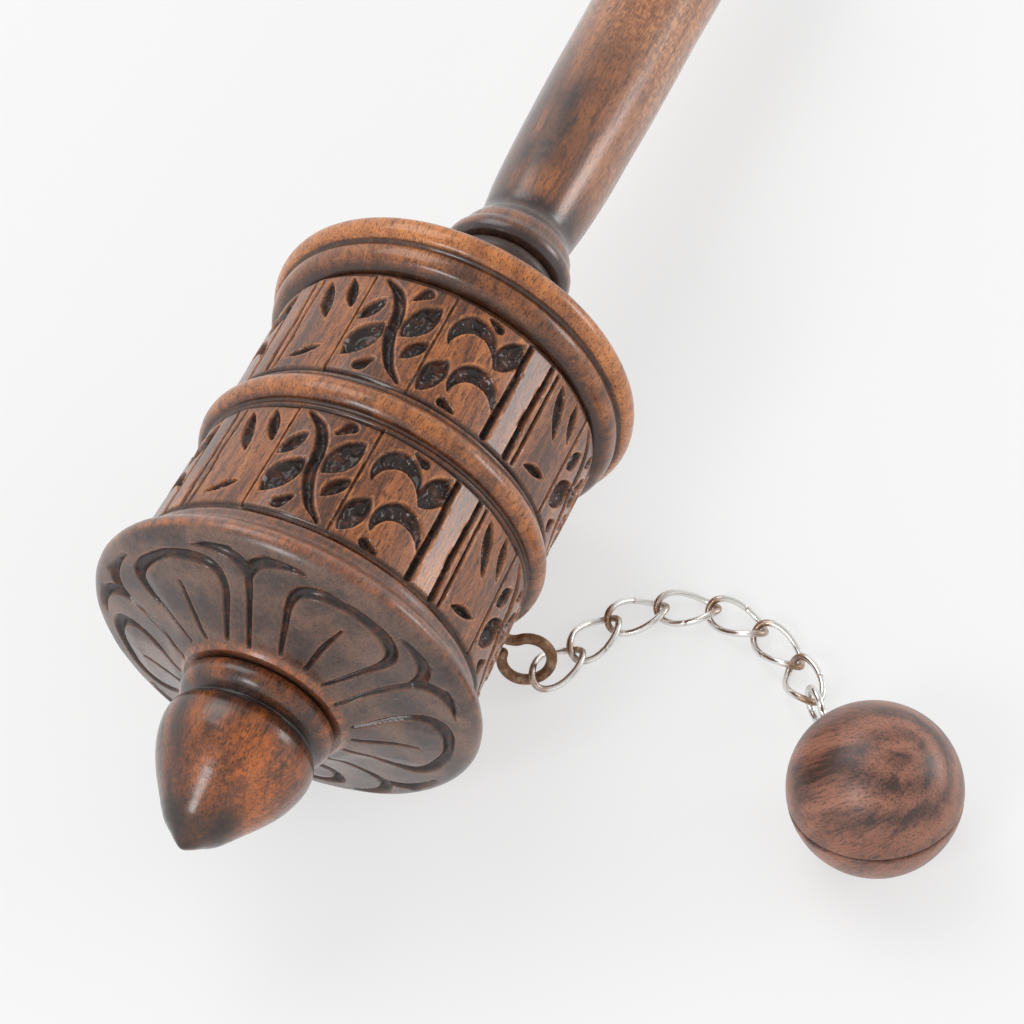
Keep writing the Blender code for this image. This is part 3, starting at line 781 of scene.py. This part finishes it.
def make_lid(material):
    bush_hole = BUSH_R + GAP
    start = SHELL_LID_X - SPIGOT_DEPTH
    recess = LID_SEAT_X - WASHER_THICKNESS - GAP
    cone = [(9.4, 14.2), (8.65, 14.9), (7.9, 16.6), (6.4, 19.5), (4.8, 24.0), (3.5, 29.0), (2.7, 32.2)]
    rim = [(2.5, 33.1), (2.1, 33.9), (1.1, 34.75), (0, 35.0), (-1.3, 34.5), (-2.2, 33.6)]
    under = [(-2.7, 32.9), (-3.2, 32.1), (-4.0, 31.6), (-5.2, 31.4)]
    profile = np.vstack([
        dense([(start, bush_hole), (recess, bush_hole), (recess, WASHER_R + GAP),
               (LID_SEAT_X, WASHER_R + GAP), (LID_SEAT_X, 13.9)], 2.5),
        curve_through(shifted(LID_X, cone), FINE),
        curve_through(shifted(LID_X, rim), 0.3),
        curve_through(shifted(LID_X, under), 0.3),
        [(SHELL_LID_X + 0.6, 31.2), (SHELL_LID_X + GAP, 30.6), (SHELL_LID_X + GAP, SPIGOT_R),
         (start + 0.5, SPIGOT_R), (start, SPIGOT_R - 0.5)],
    ])
    turned("lid_carved", profile, ROUND_STEPS, "lid", "lid", material, lid_relief, wrap=True,
           sharp=48)


# ---------------- other turned wood

def finial_relief(x, r, angle):
    skin = (r > INSERT_R + 1) | (x > SPINDLE_TOP_X + 1)
    degrees = np.degrees(angle)
    stain = ridge(x, LID_X + 15.1, 1.6) + 0.6 * ridge(x, LID_X + 9.9, 0.5)
    stain = stain + 0.8 * smoothstep(LID_X + 30, LID_X + 35, x)
    stain = stain + 0.45 * ridge(degrees, 165, 45) * (x > LID_X + 16)
    tool = 0.008 * np.sin(x * 4.2) * (x > LID_X + 17)
    uneven = 0.12 * (patchy(degrees * 0.2, x, 4.0, 51) - 0.5) * (r > 6)
    pale = smoothstep(LID_X + 17, LID_X + 21, x) * smoothstep(LID_X + 34, LID_X + 27, x)
    pale = 0.85 * pale * ridge(around(degrees), 48, 52)
    return (tool + uneven) * skin, {"shade": np.clip(stain, 0, 1), "wear": pale}


def make_finial(material):
    seat = LID_SEAT_X + GAP
    bore_end = SPINDLE_TOP_X + 2 * GAP
    bead = [(0, 12.6), (0.5, 13.2), (1.5, 13.6), (2.6, 13.5), (3.8, 12.8), (4.7, 11.6), (5.2, 11.1),
            (5.7, 11.6)]
    acorn = [(15.8, 12.2), (17, 12.9), (18.6, 13.1), (20.5, 12.9), (23.5, 12.05), (27, 10.25), (31, 7.55),
             (34.5, 5.0), (36.0, 3.2), (37.2, 1.8), (37.95, 0.8)]
    profile = np.vstack([
        dense([(bore_end, 0.5), (bore_end, INSERT_R + GAP), (seat, INSERT_R + GAP), (seat, 12.3)], 2),
        curve_through(shifted(seat, bead), 0.2),
        curve_through(shifted(LID_X, acorn), 0.35),
        [(TIP_X, 0.15)],
    ])
    turned("finial_turned", profile, 240, "finial", "finial", material, finial_relief, sharp=45)


def handle_relief(x, r, angle):
    degrees = np.degrees(angle)
    side = around(degrees)
    stain = ridge(x, COLLAR_X - 11.5, 2.2) + ridge(x, 14.5, 1.6) + 0.8 * ridge(x, COLLAR_X - 8.6, 1.0)
    # The collar's hollow underside, from COLLAR_X - 2.4 on, is made dark.
    stain = 0.75 * stain + smoothstep(COLLAR_X - 2.4, COLLAR_X - 1.2, x) + 0.4 * ridge(x, COLLAR_X - 4.2, 2.4)
    cloud = patchy(side * 0.2 + 40, x * 0.3, 2.2, 62)
    toward_collar = smoothstep(78, 122, x) * (x < COLLAR_X - 7)
    stain = stain + toward_collar * ridge(side, 106, 60) * (0.45 + 0.8 * cloud)
    # Painted light: the pale strip round 8 degrees lightens the +Y side, which faces the side window. The
    # second term makes the grip paler from 84 mm towards the butt.
    worn_and_lit = 0.75 * ridge(side, 8, 34) * smoothstep(138, 118, x)
    worn_and_lit = worn_and_lit + 0.65 * smoothstep(112, 84, x) * smoothstep(8, 24, x)
    uneven = 0.16 * (patchy(degrees * 0.1, x * 0.25, 3.0, 61) - 0.5)
    return uneven * (r > 6), {"shade": np.clip(stain, 0, 1), "wear": np.clip(worn_and_lit, 0, 1)}


def make_handle(material):
    butt_groove = [(12.6, 11.5), (13.6, 10.85), (14.5, 10.7), (15.4, 10.85), (16.4, 11.45)]
    grip = [(17.2, 11.65), (38.6, 11.95), (74.6, 11.4), (104.6, 11.0), (119.6, 10.5), (129.6, 9.95),
            (134.6, 9.4), (137.1, 9.1), (138.6, 9.3), (140.1, 10.1), (141.4, 10.9), (143.0, 11.3),
            (144.2, 11.55), (144.6, 12.2), (145.7, 12.6), (147.0, 12.5), (148.1, 11.8), (COLLAR_X, 10.6)]
    profile = np.vstack([
        dense([(0, 0.6), (0, 7.6)], 1.5),
        arc(3.9, 7.8, 3.9, 178, 76, 16),
        curve_through([(6.5, 11.75), (12.0, 11.75)], 1),
        curve_through(butt_groove, 0.3),
        curve_through(grip, 0.5),
        dense([(COLLAR_X, 10.0), (COLLAR_X, BORE_R), (COLLAR_X - SPINDLE_DEPTH, BORE_R)], 2.5),
        [(COLLAR_X - SPINDLE_DEPTH, 0.5)],
    ])
    turned("handle_turned", profile, 240, "handle", "handle", material, handle_relief,
           sharp=45)


def neck_relief(x, r, angle):
    lathe_marks = 0.04 * np.sin(x * 3.6 + 0.4 * np.sin(2 * angle))
    return lathe_marks * (r > 6), {"shade": 0.75, "wear": 0.12 * ridge(r, 12.2, 0.3)}


def make_neck(material):
    start = COLLAR_X + GAP
    end = BASE_BACK_X - WASHER_THICKNESS - 2 * GAP
    outer = [(end, 11.6), (end - 0.7, 12.1), (end - 2, 12.2), (end - 4.5, 11.0), ((start + end) / 2, 10.2),
             (start + 3.5, 10.6), (start + 1.2, 11.2), (start + 0.4, 11.15), (start, 10.9)]
    profile = np.vstack([
        dense([(start, BORE_R), (end, BORE_R), (end, 11.2)], 2.5),
        curve_through(outer, 0.4),
        dense([(start, 10.4), (start, BORE_R + 0.4)], 2.5),
    ])
    turned("neck_spacer_turned", profile, 200, "neck_spacer", "handle", material, neck_relief,
           wrap=True)


# ---------------- spindle, bushes and washers

def thread_relief(start, end, depth, pitch):
    def relief(x, r, angle):
        cut = (x > start) & (x < end) & (r > SPINDLE_R - 0.2)
        wave = 0.5 + 0.5 * np.cos(2 * np.pi * x / pitch - angle)
        return -depth * wave * cut, {"wear": 0.35 * wave * cut}
    return relief


def make_spindle(material):
    start = COLLAR_X - SPINDLE_DEPTH + GAP
    profile = np.vstack([
        [(start, 0.4), (start, SPINDLE_R - 0.4)],
        dense([(start + 0.4, SPINDLE_R), (LID_SEAT_X, SPINDLE_R)], 2),
        dense([(LID_SEAT_X + 0.2, SPINDLE_R), (SPINDLE_TOP_X - 0.5, SPINDLE_R)], 0.1),
        [(SPINDLE_TOP_X, SPINDLE_R - 0.5), (SPINDLE_TOP_X, 0.4)],
    ])
    turned("spindle_threaded", profile, 64, "spindle", "handle", material,
           thread_relief(LID_SEAT_X + 0.4, SPINDLE_TOP_X - 0.6, 0.32, 0.8))


def make_collar(node, kind, start, end, outer, body, material):
    """A plain metal ring on the spindle's bore, with its edges broken."""
    edge = 0.18
    profile = dense([
        (start, BORE_R + edge), (start + edge, BORE_R), (end - edge, BORE_R), (end, BORE_R + edge),
        (end, outer - edge), (end - edge, outer), (start + edge, outer), (start, outer - edge),
        (start, BORE_R + edge),
    ], 0.6)[:-1]

    def lathe_marks(x, r, angle):
        return 0.012 * np.sin(r * 22), {"wear": 0.25 * ridge(r, outer, 0.5)}

    turned(f"{node}_{kind}", profile, 96, node, body, material, lathe_marks, wrap=True)


# ---------------- the scroll

def make_scroll(paper, cloth, thread, card):
    start = SHELL_BASE_X + SPIGOT_DEPTH + 1.5
    end = SHELL_LID_X - SPIGOT_DEPTH - 1.5
    core_r = 5.0
    paper_r = 23.0
    wrap_inner = paper_r + GAP
    wrap_outer = wrap_inner + 0.8
    layer = 0.9

    def rolled(x, r, angle):
        """The edges of the wound paper, as a spiral of fine steps."""
        face = (np.abs(x - (start + 1)) < 0.01) | (np.abs(x - (end - 1)) < 0.01)
        share = (r / layer - angle / (2 * np.pi)) % 1
        step = 0.5 * smoothstep(0.0, 0.7, share) * smoothstep(1.0, 0.86, share)
        lift = 0.3 * (patchy(r * np.cos(angle), r * np.sin(angle), 5.0, 91) - 0.5)
        # The low part of each step gets painted shade.
        return (step - 0.5 + lift - 0.2) * face, {"shade": (1 - 2 * step) * face}

    radii = dense([(core_r + GAP, 0), (paper_r, 0)], 0.11)[:, 0]
    low_face = np.column_stack([np.full(len(radii), start + 1), radii])
    high_face = np.column_stack([np.full(len(radii), end - 1), radii[::-1]])
    turned("scroll_paper_roll", np.vstack([low_face, high_face]), 300, "scroll_paper", "scroll",
           paper, rolled, wrap=True, sharp=80)

    def woven(x, r, angle):
        threads = 260
        outside = r > (wrap_inner + wrap_outer) / 2
        over = np.sin(angle * threads) * np.sin(x * 2 * np.pi / 1.1)
        fold = 0.12 * np.sin(3 * angle + 0.2 * x) * outside
        return (0.05 * over - 0.05) * outside - np.abs(fold), {"shade": 0.5 - 0.5 * over}

    outline = [(start + 1, wrap_inner), (end - 1, wrap_inner), (end - 1, wrap_outer),
               (start + 1, wrap_outer), (start + 1, wrap_inner)]
    turned("scroll_wrap_cloth", dense(outline, 0.28)[:-1], 520, "scroll_wrap", "scroll",
           cloth, woven, wrap=True)

    tie_r = 0.5
    centre_r = wrap_outer + GAP + tie_r
    for name, share in (("scroll_tie_lower", 0.22), ("scroll_tie_upper", 0.78)):
        station = start + (end - start) * share
        outline = arc(station, centre_r, tie_r, 0, 345, 23)

        def twisted(x, r, angle, station=station):
            round_wire = np.arctan2(r - centre_r, x - station)
            strand = np.cos(3 * round_wire + 150 * angle)
            # The grooves between the strands get painted shade.
            return 0.09 * strand - 0.09, {"shade": 0.5 - 0.5 * strand}

        turned(name + "_cord", outline, 720, name, "scroll", thread, twisted, wrap=True)

    def spiral_card(x, r, angle):
        seam = (x / 14.0 - angle / (2 * np.pi)) % 1
        return -0.12 * ridge(seam, 0.5, 0.03) * (r > 4), {"shade": ridge(seam, 0.5, 0.04)}

    outline = [(start, 3.6), (end, 3.6), (end, core_r), (start, core_r), (start, 3.6)]
    turned("scroll_core_tube", dense(outline, 0.5)[:-1], 120, "scroll_core", "scroll", card,
           spiral_card, wrap=True)


# ---------------- screw eye, chain and weight

EYE_ANGLE = math.radians(45)
EYE_TURN = math.radians(59.5)
EYE_RING_R = 4.5
EYE_WIRE_R = 1.0
EYE_REACH = 41.5
LINK_LENGTH = 12.6
LINK_WIDTH = 7.6
LINK_WIRE_R = 0.625
LINK_PITCH = 9.6
LINK_TWIST = math.radians(42)
LINK_SQUARENESS = 2.3
LINK_LIFT = 0.05
FIRST_JOINT_OFFSET = Vector((1.7, -0.4, 0))
LINK_HEADINGS = (155, 158, 131, 111, 82, 60, 34)
LINK_CLIMBS = (-6, 0, 0, 0, 0, 4, 16)
LINK_ROLLS = (4, 0, 0, 0, 0, 0, 15)
WEIGHT_RING_R = 3.2
WEIGHT_WIRE_R = 0.65
WEIGHT_SHANK_DEPTH = 8.0
BALL_R = 15.05
BALL_CENTRE = Vector((LID_X - 25.7, 95.7, FLOOR_Z + BALL_R))
BALL_TILT = Vector((-0.14, -0.19, 0.97))
BALL_GROOVE_ANGLE = 94.5


def eye_path(ring_r, wire_r, shank):
    """A wire eye in its XY plane: a shank along -X that bends into a ring round the origin."""
    gap_angle = 2 * math.asin((2 * wire_r + 1.5 * GAP) / (2 * ring_r))
    bend_angle = gap_angle * 0.55
    points = [(-shank, 0), (-ring_r - 2.6 * wire_r, 0), (-ring_r - 1.1 * wire_r, 0.25 * wire_r)]
    start = math.pi - bend_angle
    end = -math.pi + gap_angle
    turns = 16
    for step in range(turns + 1):
        angle = start + (end - start) * step / turns
        points.append((ring_r * math.cos(angle), ring_r * math.sin(angle)))
    flat = curve_through(points, wire_r * 0.28)
    return np.column_stack([flat, np.zeros(len(flat))])


def placed(rows, matrix):
    """The same rows of points, moved by the matrix."""
    points = [matrix @ Vector(point) for point in rows.reshape(-1, 3)]
    return np.array(points).reshape(rows.shape)


def make_screw_eye(material):
    """Gives the way that the eye points, because the chain starts beyond it."""
    outward = Vector((0, math.cos(EYE_ANGLE), -math.sin(EYE_ANGLE)))
    flat = Vector((1, 0, 0))
    across = outward.cross(flat)
    normal = flat * math.sin(EYE_TURN) - across * math.cos(EYE_TURN)
    turn = Matrix((outward, normal.cross(outward), normal)).transposed().to_4x4()
    centre = Vector((BEAD_X, 0, 0)) + outward * EYE_REACH
    path = eye_path(EYE_RING_R, EYE_WIRE_R, EYE_REACH - CAVITY_R - 1.2)
    rng = np.random.default_rng(5)
    pitting = 1 + 0.035 * (patchy(np.arange(len(path)), 0, 3.0, 14) - 0.5)
    rows = sweep(path, EYE_WIRE_R * pitting, 24, closed=False)
    rows = rows + (rng.random(rows.shape) - 0.5) * 0.03
    rows = placed(rows, Matrix.Translation(centre) @ turn)
    make_piece("screw_eye_rusty", rows, False, {}, "screw_eye", "drum", material)
    return outward


def link_path(count):
    """A link's centre line, twisted round its length."""
    angles = 2 * np.pi * (np.arange(count) + 0.5) / count
    half_length = LINK_LENGTH / 2 - LINK_WIRE_R
    half_width = LINK_WIDTH / 2 - LINK_WIRE_R
    power = 2 / LINK_SQUARENESS
    cosine = np.cos(angles)
    sine = np.sin(angles)
    along = half_length * np.sign(cosine) * np.abs(cosine) ** power
    across = half_width * np.sign(sine) * np.abs(sine) ** power
    roll = -LINK_TWIST * along / half_length
    return np.column_stack([along, across * np.cos(roll), across * np.sin(roll)])


def even_loop(points, count):
    """The same closed line with evenly spaced points."""
    looped = np.vstack([points, points[:1]])
    lengths = np.concatenate([[0], np.cumsum(np.linalg.norm(np.diff(looped, axis=0), axis=1))])
    targets = np.linspace(0, lengths[-1], count, endpoint=False)
    return np.column_stack([np.interp(targets, lengths, looped[:, axis]) for axis in range(3)])


def make_chain(material, outward):
    """Returns the joint beyond the last link."""
    coarse = link_path(20)
    rest_height = coarse[:, 2].max() + LINK_WIRE_R + LINK_LIFT
    path = even_loop(link_path(400), 110)
    ends = smoothstep(0.55, 1.0, np.abs(path[:, 0]) / (LINK_LENGTH / 2 - LINK_WIRE_R))
    joint = Vector((BEAD_X, 0, 0)) + outward * (EYE_REACH + EYE_RING_R) + FIRST_JOINT_OFFSET
    joint.z = FLOOR_Z + rest_height + LINK_PITCH * math.sin(math.radians(-LINK_CLIMBS[0]))
    shapes = zip(LINK_HEADINGS, LINK_CLIMBS, LINK_ROLLS)
    for number, (heading, climb, roll) in enumerate(shapes, start=1):
        turn = Matrix.Rotation(math.radians(heading), 4, "Z")
        turn = turn @ Matrix.Rotation(-math.radians(climb), 4, "Y")
        turn = turn @ Matrix.Rotation(math.radians(roll), 4, "X")
        place = Matrix.Translation(joint) @ turn
        side = 1 if number % 2 else -1
        seam = (path[:, 1] * side > 0) * ridge(path[:, 0], 0.4 * side, 0.16)
        radius = LINK_WIRE_R * (1 - 0.22 * seam)
        rows = placed(sweep(path + (LINK_PITCH / 2, 0, 0), radius, 18, closed=True), place)
        blotch = patchy(np.arange(len(path)) * 0.2, number * 3.0, 1.0, 77)
        dirt = np.clip(ends * (0.45 + 0.9 * blotch) + 0.8 * seam, 0, 1)[:, None]
        make_piece(f"chain_link_{number}_wire", rows, True, {"wear": dirt}, f"chain_link_{number}",
                   f"link_{number}", material)
        joint = place @ Vector((LINK_PITCH, 0, 0))
    return joint



def make_weight(wood_material, metal_material, joint):
    to_joint = joint - BALL_CENTRE
    outward = to_joint.normalized()
    reach = to_joint.length + WEIGHT_WIRE_R + GAP - WEIGHT_RING_R
    side = (Vector((0, 0, 1)) - outward * outward.z).normalized()
    turn = Matrix((outward, side, outward.cross(side))).transposed().to_4x4()
    place = Matrix.Translation(BALL_CENTRE + outward * reach) @ turn
    shank = reach - BALL_R + WEIGHT_SHANK_DEPTH
    path = eye_path(WEIGHT_RING_R, WEIGHT_WIRE_R, shank)
    rows = placed(sweep(path, WEIGHT_WIRE_R, 20, closed=False), place)
    make_piece("weight_eye_wire", rows, False, {}, "weight_eye", "weight", metal_material)

    polar = np.radians(np.concatenate([
        np.linspace(1, BALL_GROOVE_ANGLE - 4, 60),
        np.linspace(BALL_GROOVE_ANGLE - 3.8, BALL_GROOVE_ANGLE + 3.8, 39),
        np.linspace(BALL_GROOVE_ANGLE + 4, 179, 56),
    ]))[:, None]
    from_groove = np.degrees(polar) - BALL_GROOVE_ANGLE
    steps = 240
    angle = 2 * np.pi * np.arange(steps)[None, :] / steps
    uneven = 0.12 * (patchy(np.degrees(angle) * 0.1, np.degrees(polar) * 0.1, 3.0, 88) - 0.5)
    radius = BALL_R - 0.75 * ridge(from_groove, 0, 1.25) - 0.08 + uneven
    rows = np.stack([radius * np.sin(polar) * np.cos(angle), radius * np.sin(polar) * np.sin(angle),
                     radius * np.cos(polar)], axis=-1)
    tilt = BALL_TILT.to_track_quat("Z", "Y").to_matrix().to_4x4()
    rows = placed(rows, Matrix.Translation(BALL_CENTRE) @ tilt)
    pale = 0.55 * smoothstep(62, 84, np.degrees(polar))
    layers = {"shade": 0.85 * ridge(from_groove, 0, 1.2), "wear": pale}
    make_piece("weight_ball_turned", rows, False, layers, "weight_ball", "weight",
               wood_material)


# ---------------- table, light and camera

CENTRE = Vector((0.2, 0.03, 0.0))          # the middle of the picture on the table, in metres
TABLE_HALF_SIZE = 3.0
TABLE_GAP = 0.12                           # below the drum's rims, in mm
LENS = 87.4
SENSOR_WIDTH = 36


def make_table():
    size = TABLE_HALF_SIZE
    mesh = bpy.data.meshes.new("table")
    corners = [(-size, -size, 0), (size, -size, 0), (size, size, 0), (-size, size, 0)]
    mesh.from_pydata(corners, [], [(0, 1, 2, 3)])
    mesh.materials.append(table_finish())
    table = bpy.data.objects.new("table", mesh)
    table.location = CENTRE + Vector((0, 0, (FLOOR_Z - TABLE_GAP) * MM))
    bpy.context.scene.collection.objects.link(table)



def make_light(name, direction, distance, width, height, power):
    data = bpy.data.lights.new(name, "AREA")
    data.shape = "RECTANGLE"
    data.size = width
    data.size_y = height
    data.energy = power
    light = bpy.data.objects.new(name, data)
    light.location = CENTRE + Vector(direction).normalized() * distance
    light.rotation_euler = (light.location - CENTRE).to_track_quat("Z", "Y").to_euler()
    bpy.context.scene.collection.objects.link(light)


def make_lights():
    world = bpy.data.worlds.new("studio")
    world.use_nodes = True
    tree = world.node_tree
    direction = tree.nodes.new("ShaderNodeTexCoord")
    split = tree.nodes.new("ShaderNodeSeparateXYZ")
    level = tree.nodes.new("ShaderNodeMapRange")
    for socket, number in (("From Min", 0.3), ("From Max", 0.8), ("To Min", 1.1), ("To Max", 0.62)):
        level.inputs[socket].default_value = number
    tree.links.new(direction.outputs["Generated"], split.inputs[0])
    tree.links.new(split.outputs["Z"], level.inputs["Value"])
    tree.links.new(level.outputs["Result"], tree.nodes["Background"].inputs["Strength"])
    tree.nodes["Background"].inputs["Color"].default_value = (1, 1, 1, 1)
    bpy.context.scene.world = world
    make_light("key_softbox", (-0.25, -0.62, 1.0), distance=2.5, width=1.6, height=1.6, power=22)
    make_light("side_window", (-0.55, 0.79, 0.30), distance=1.2, width=0.45, height=0.36, power=3)
    make_light("front_softbox", (0.75, -0.25, 0.65), distance=1.5, width=0.4, height=0.4, power=5.5)
    bpy.context.scene.view_settings.view_transform = "Standard"


def make_camera():
    data = bpy.data.cameras.new("camera")
    data.lens = LENS
    data.sensor_width = SENSOR_WIDTH
    camera = bpy.data.objects.new("camera", data)
    place = Matrix.Translation((0.4326, 0.1203, 0.3448))
    right = Vector((-0.3841, 0.9232, 0))
    up = Vector((-0.7428, -0.3090, 0.5935))
    back = Vector((0.5483, 0.2279, 0.8048))
    camera.matrix_world = place @ Matrix((right, up, back)).transposed().to_4x4()
    bpy.context.scene.collection.objects.link(camera)
    bpy.context.scene.camera = camera


# ---------------- the whole wheel

make_camera()
make_table()
make_lights()

drum_wood = wood("drum_wood_carved", (192, 122, 66), (146, 84, 43), (80, 44, 26), stain=(42, 22, 13),
                 worn_and_lit=(200, 124, 64), flecks=0.75, ring_size=4.0, gloss=0.38, coat=0.55, coat_rough=0.14)
# The lid's pale colour lays wear and, on the rim's upper side, painted light.
lid_wood = wood("lid_wood_carved", (110, 79, 64), (82, 58, 48), (51, 35, 29), stain=(40, 23, 15),
                worn_and_lit=(170, 94, 46), flecks=0.45, streaks=0.35, ring_size=5.0, gloss=0.36, coat=0.7,
                coat_rough=0.25, shift=(0, 0.006, 0.02))
finial_wood = wood("finial_wood", (160, 88, 38), (104, 56, 30), (46, 27, 20), stain=(26, 15, 11),
                   worn_and_lit=(184, 98, 38), flecks=0.7, streaks=0.8, gloss=0.3, coat=0.6,
                   shift=(0.01, 0.013, 0.0))
neck_wood = wood("neck_wood", (118, 94, 84), (90, 70, 62), (60, 46, 40), stain=(52, 38, 32),
                 worn_and_lit=(100, 74, 60), flecks=0.3, streaks=0.3, gloss=0.42, coat=0.25)
# The handle's pale colour also paints its lit +Y side.
handle_wood = wood("handle_wood_oiled", (176, 108, 60), (118, 68, 41), (58, 40, 35), stain=(46, 31, 27),
                   worn_and_lit=(196, 134, 90), flecks=0.55, streaks=0.8, grain=0.8, ring_size=4.5, gloss=0.3,
                   coat=0.9, coat_rough=0.25, shift=(0.02, 0.005, 0.012))
swirl_axis = Vector((-0.2, 0.7, 0.68)).normalized()
swirl_side = swirl_axis.orthogonal().normalized()
swirl_turn = Matrix((swirl_axis, swirl_side, swirl_axis.cross(swirl_side)))
swirl_centre = (BALL_CENTRE + BALL_R * Vector((0.05, 0.24, 0.97)).normalized()) * MM
ball_wood = wood("ball_wood_satin", (150, 100, 80), (118, 77, 62), (66, 44, 38), stain=(36, 22, 18),
                 worn_and_lit=(158, 98, 72), flecks=0.6, streaks=0.3, ring_size=2.5, ring_share=0.26, gloss=0.42,
                 coat=0.4, coat_rough=0.35, shift=-(swirl_turn @ swirl_centre),
                 place_turn=swirl_turn.to_euler())
steel = metal("link_steel", (228, 226, 222), (146, 108, 76), 0.64, 0.9, 0.22, 0.45)
bright_steel = metal("bright_steel", (220, 219, 216), (120, 112, 104), 0.6, 0.85, 0.18, 0.4)
brass = metal("aged_brass", (196, 152, 84), (104, 74, 40), 0.55, 0.8, 0.28, 0.5)
iron = rust("rusty_iron_eye")
paper = paper_finish("rolled_paper")
cloth = cloth_finish("yellow_wrap_cloth", (222, 168, 52), (168, 112, 30))
thread = cloth_finish("red_tie_thread", (170, 42, 34), (98, 18, 18))
card = paper_finish("core_card")

make_handle(handle_wood)
make_neck(neck_wood)
make_spindle(bright_steel)
washer_x = BASE_BACK_X - WASHER_THICKNESS - GAP
make_collar("lower_washer", "ring", washer_x, washer_x + WASHER_THICKNESS, WASHER_R, "handle", brass)
make_drum_base(drum_wood)
make_collar("lower_bush", "tube", BASE_BACK_X, SHELL_BASE_X + SPIGOT_DEPTH, BUSH_R, "drum", brass)
make_drum_shell(drum_wood)
eye_outward = make_screw_eye(iron)
make_lid(lid_wood)
recess_x = LID_SEAT_X - WASHER_THICKNESS - GAP
make_collar("upper_bush", "tube", SHELL_LID_X - SPIGOT_DEPTH, recess_x - GAP, BUSH_R, "lid", brass)
make_collar("upper_washer", "ring", recess_x + GAP, LID_SEAT_X, WASHER_R, "lid", brass)
make_scroll(paper, cloth, thread, card)
make_finial(finial_wood)
make_collar("finial_insert", "tube", LID_SEAT_X + GAP, SPINDLE_TOP_X + GAP, INSERT_R, "finial", brass)
last_joint = make_chain(steel, eye_outward)
make_weight(ball_wood, bright_steel, last_joint)
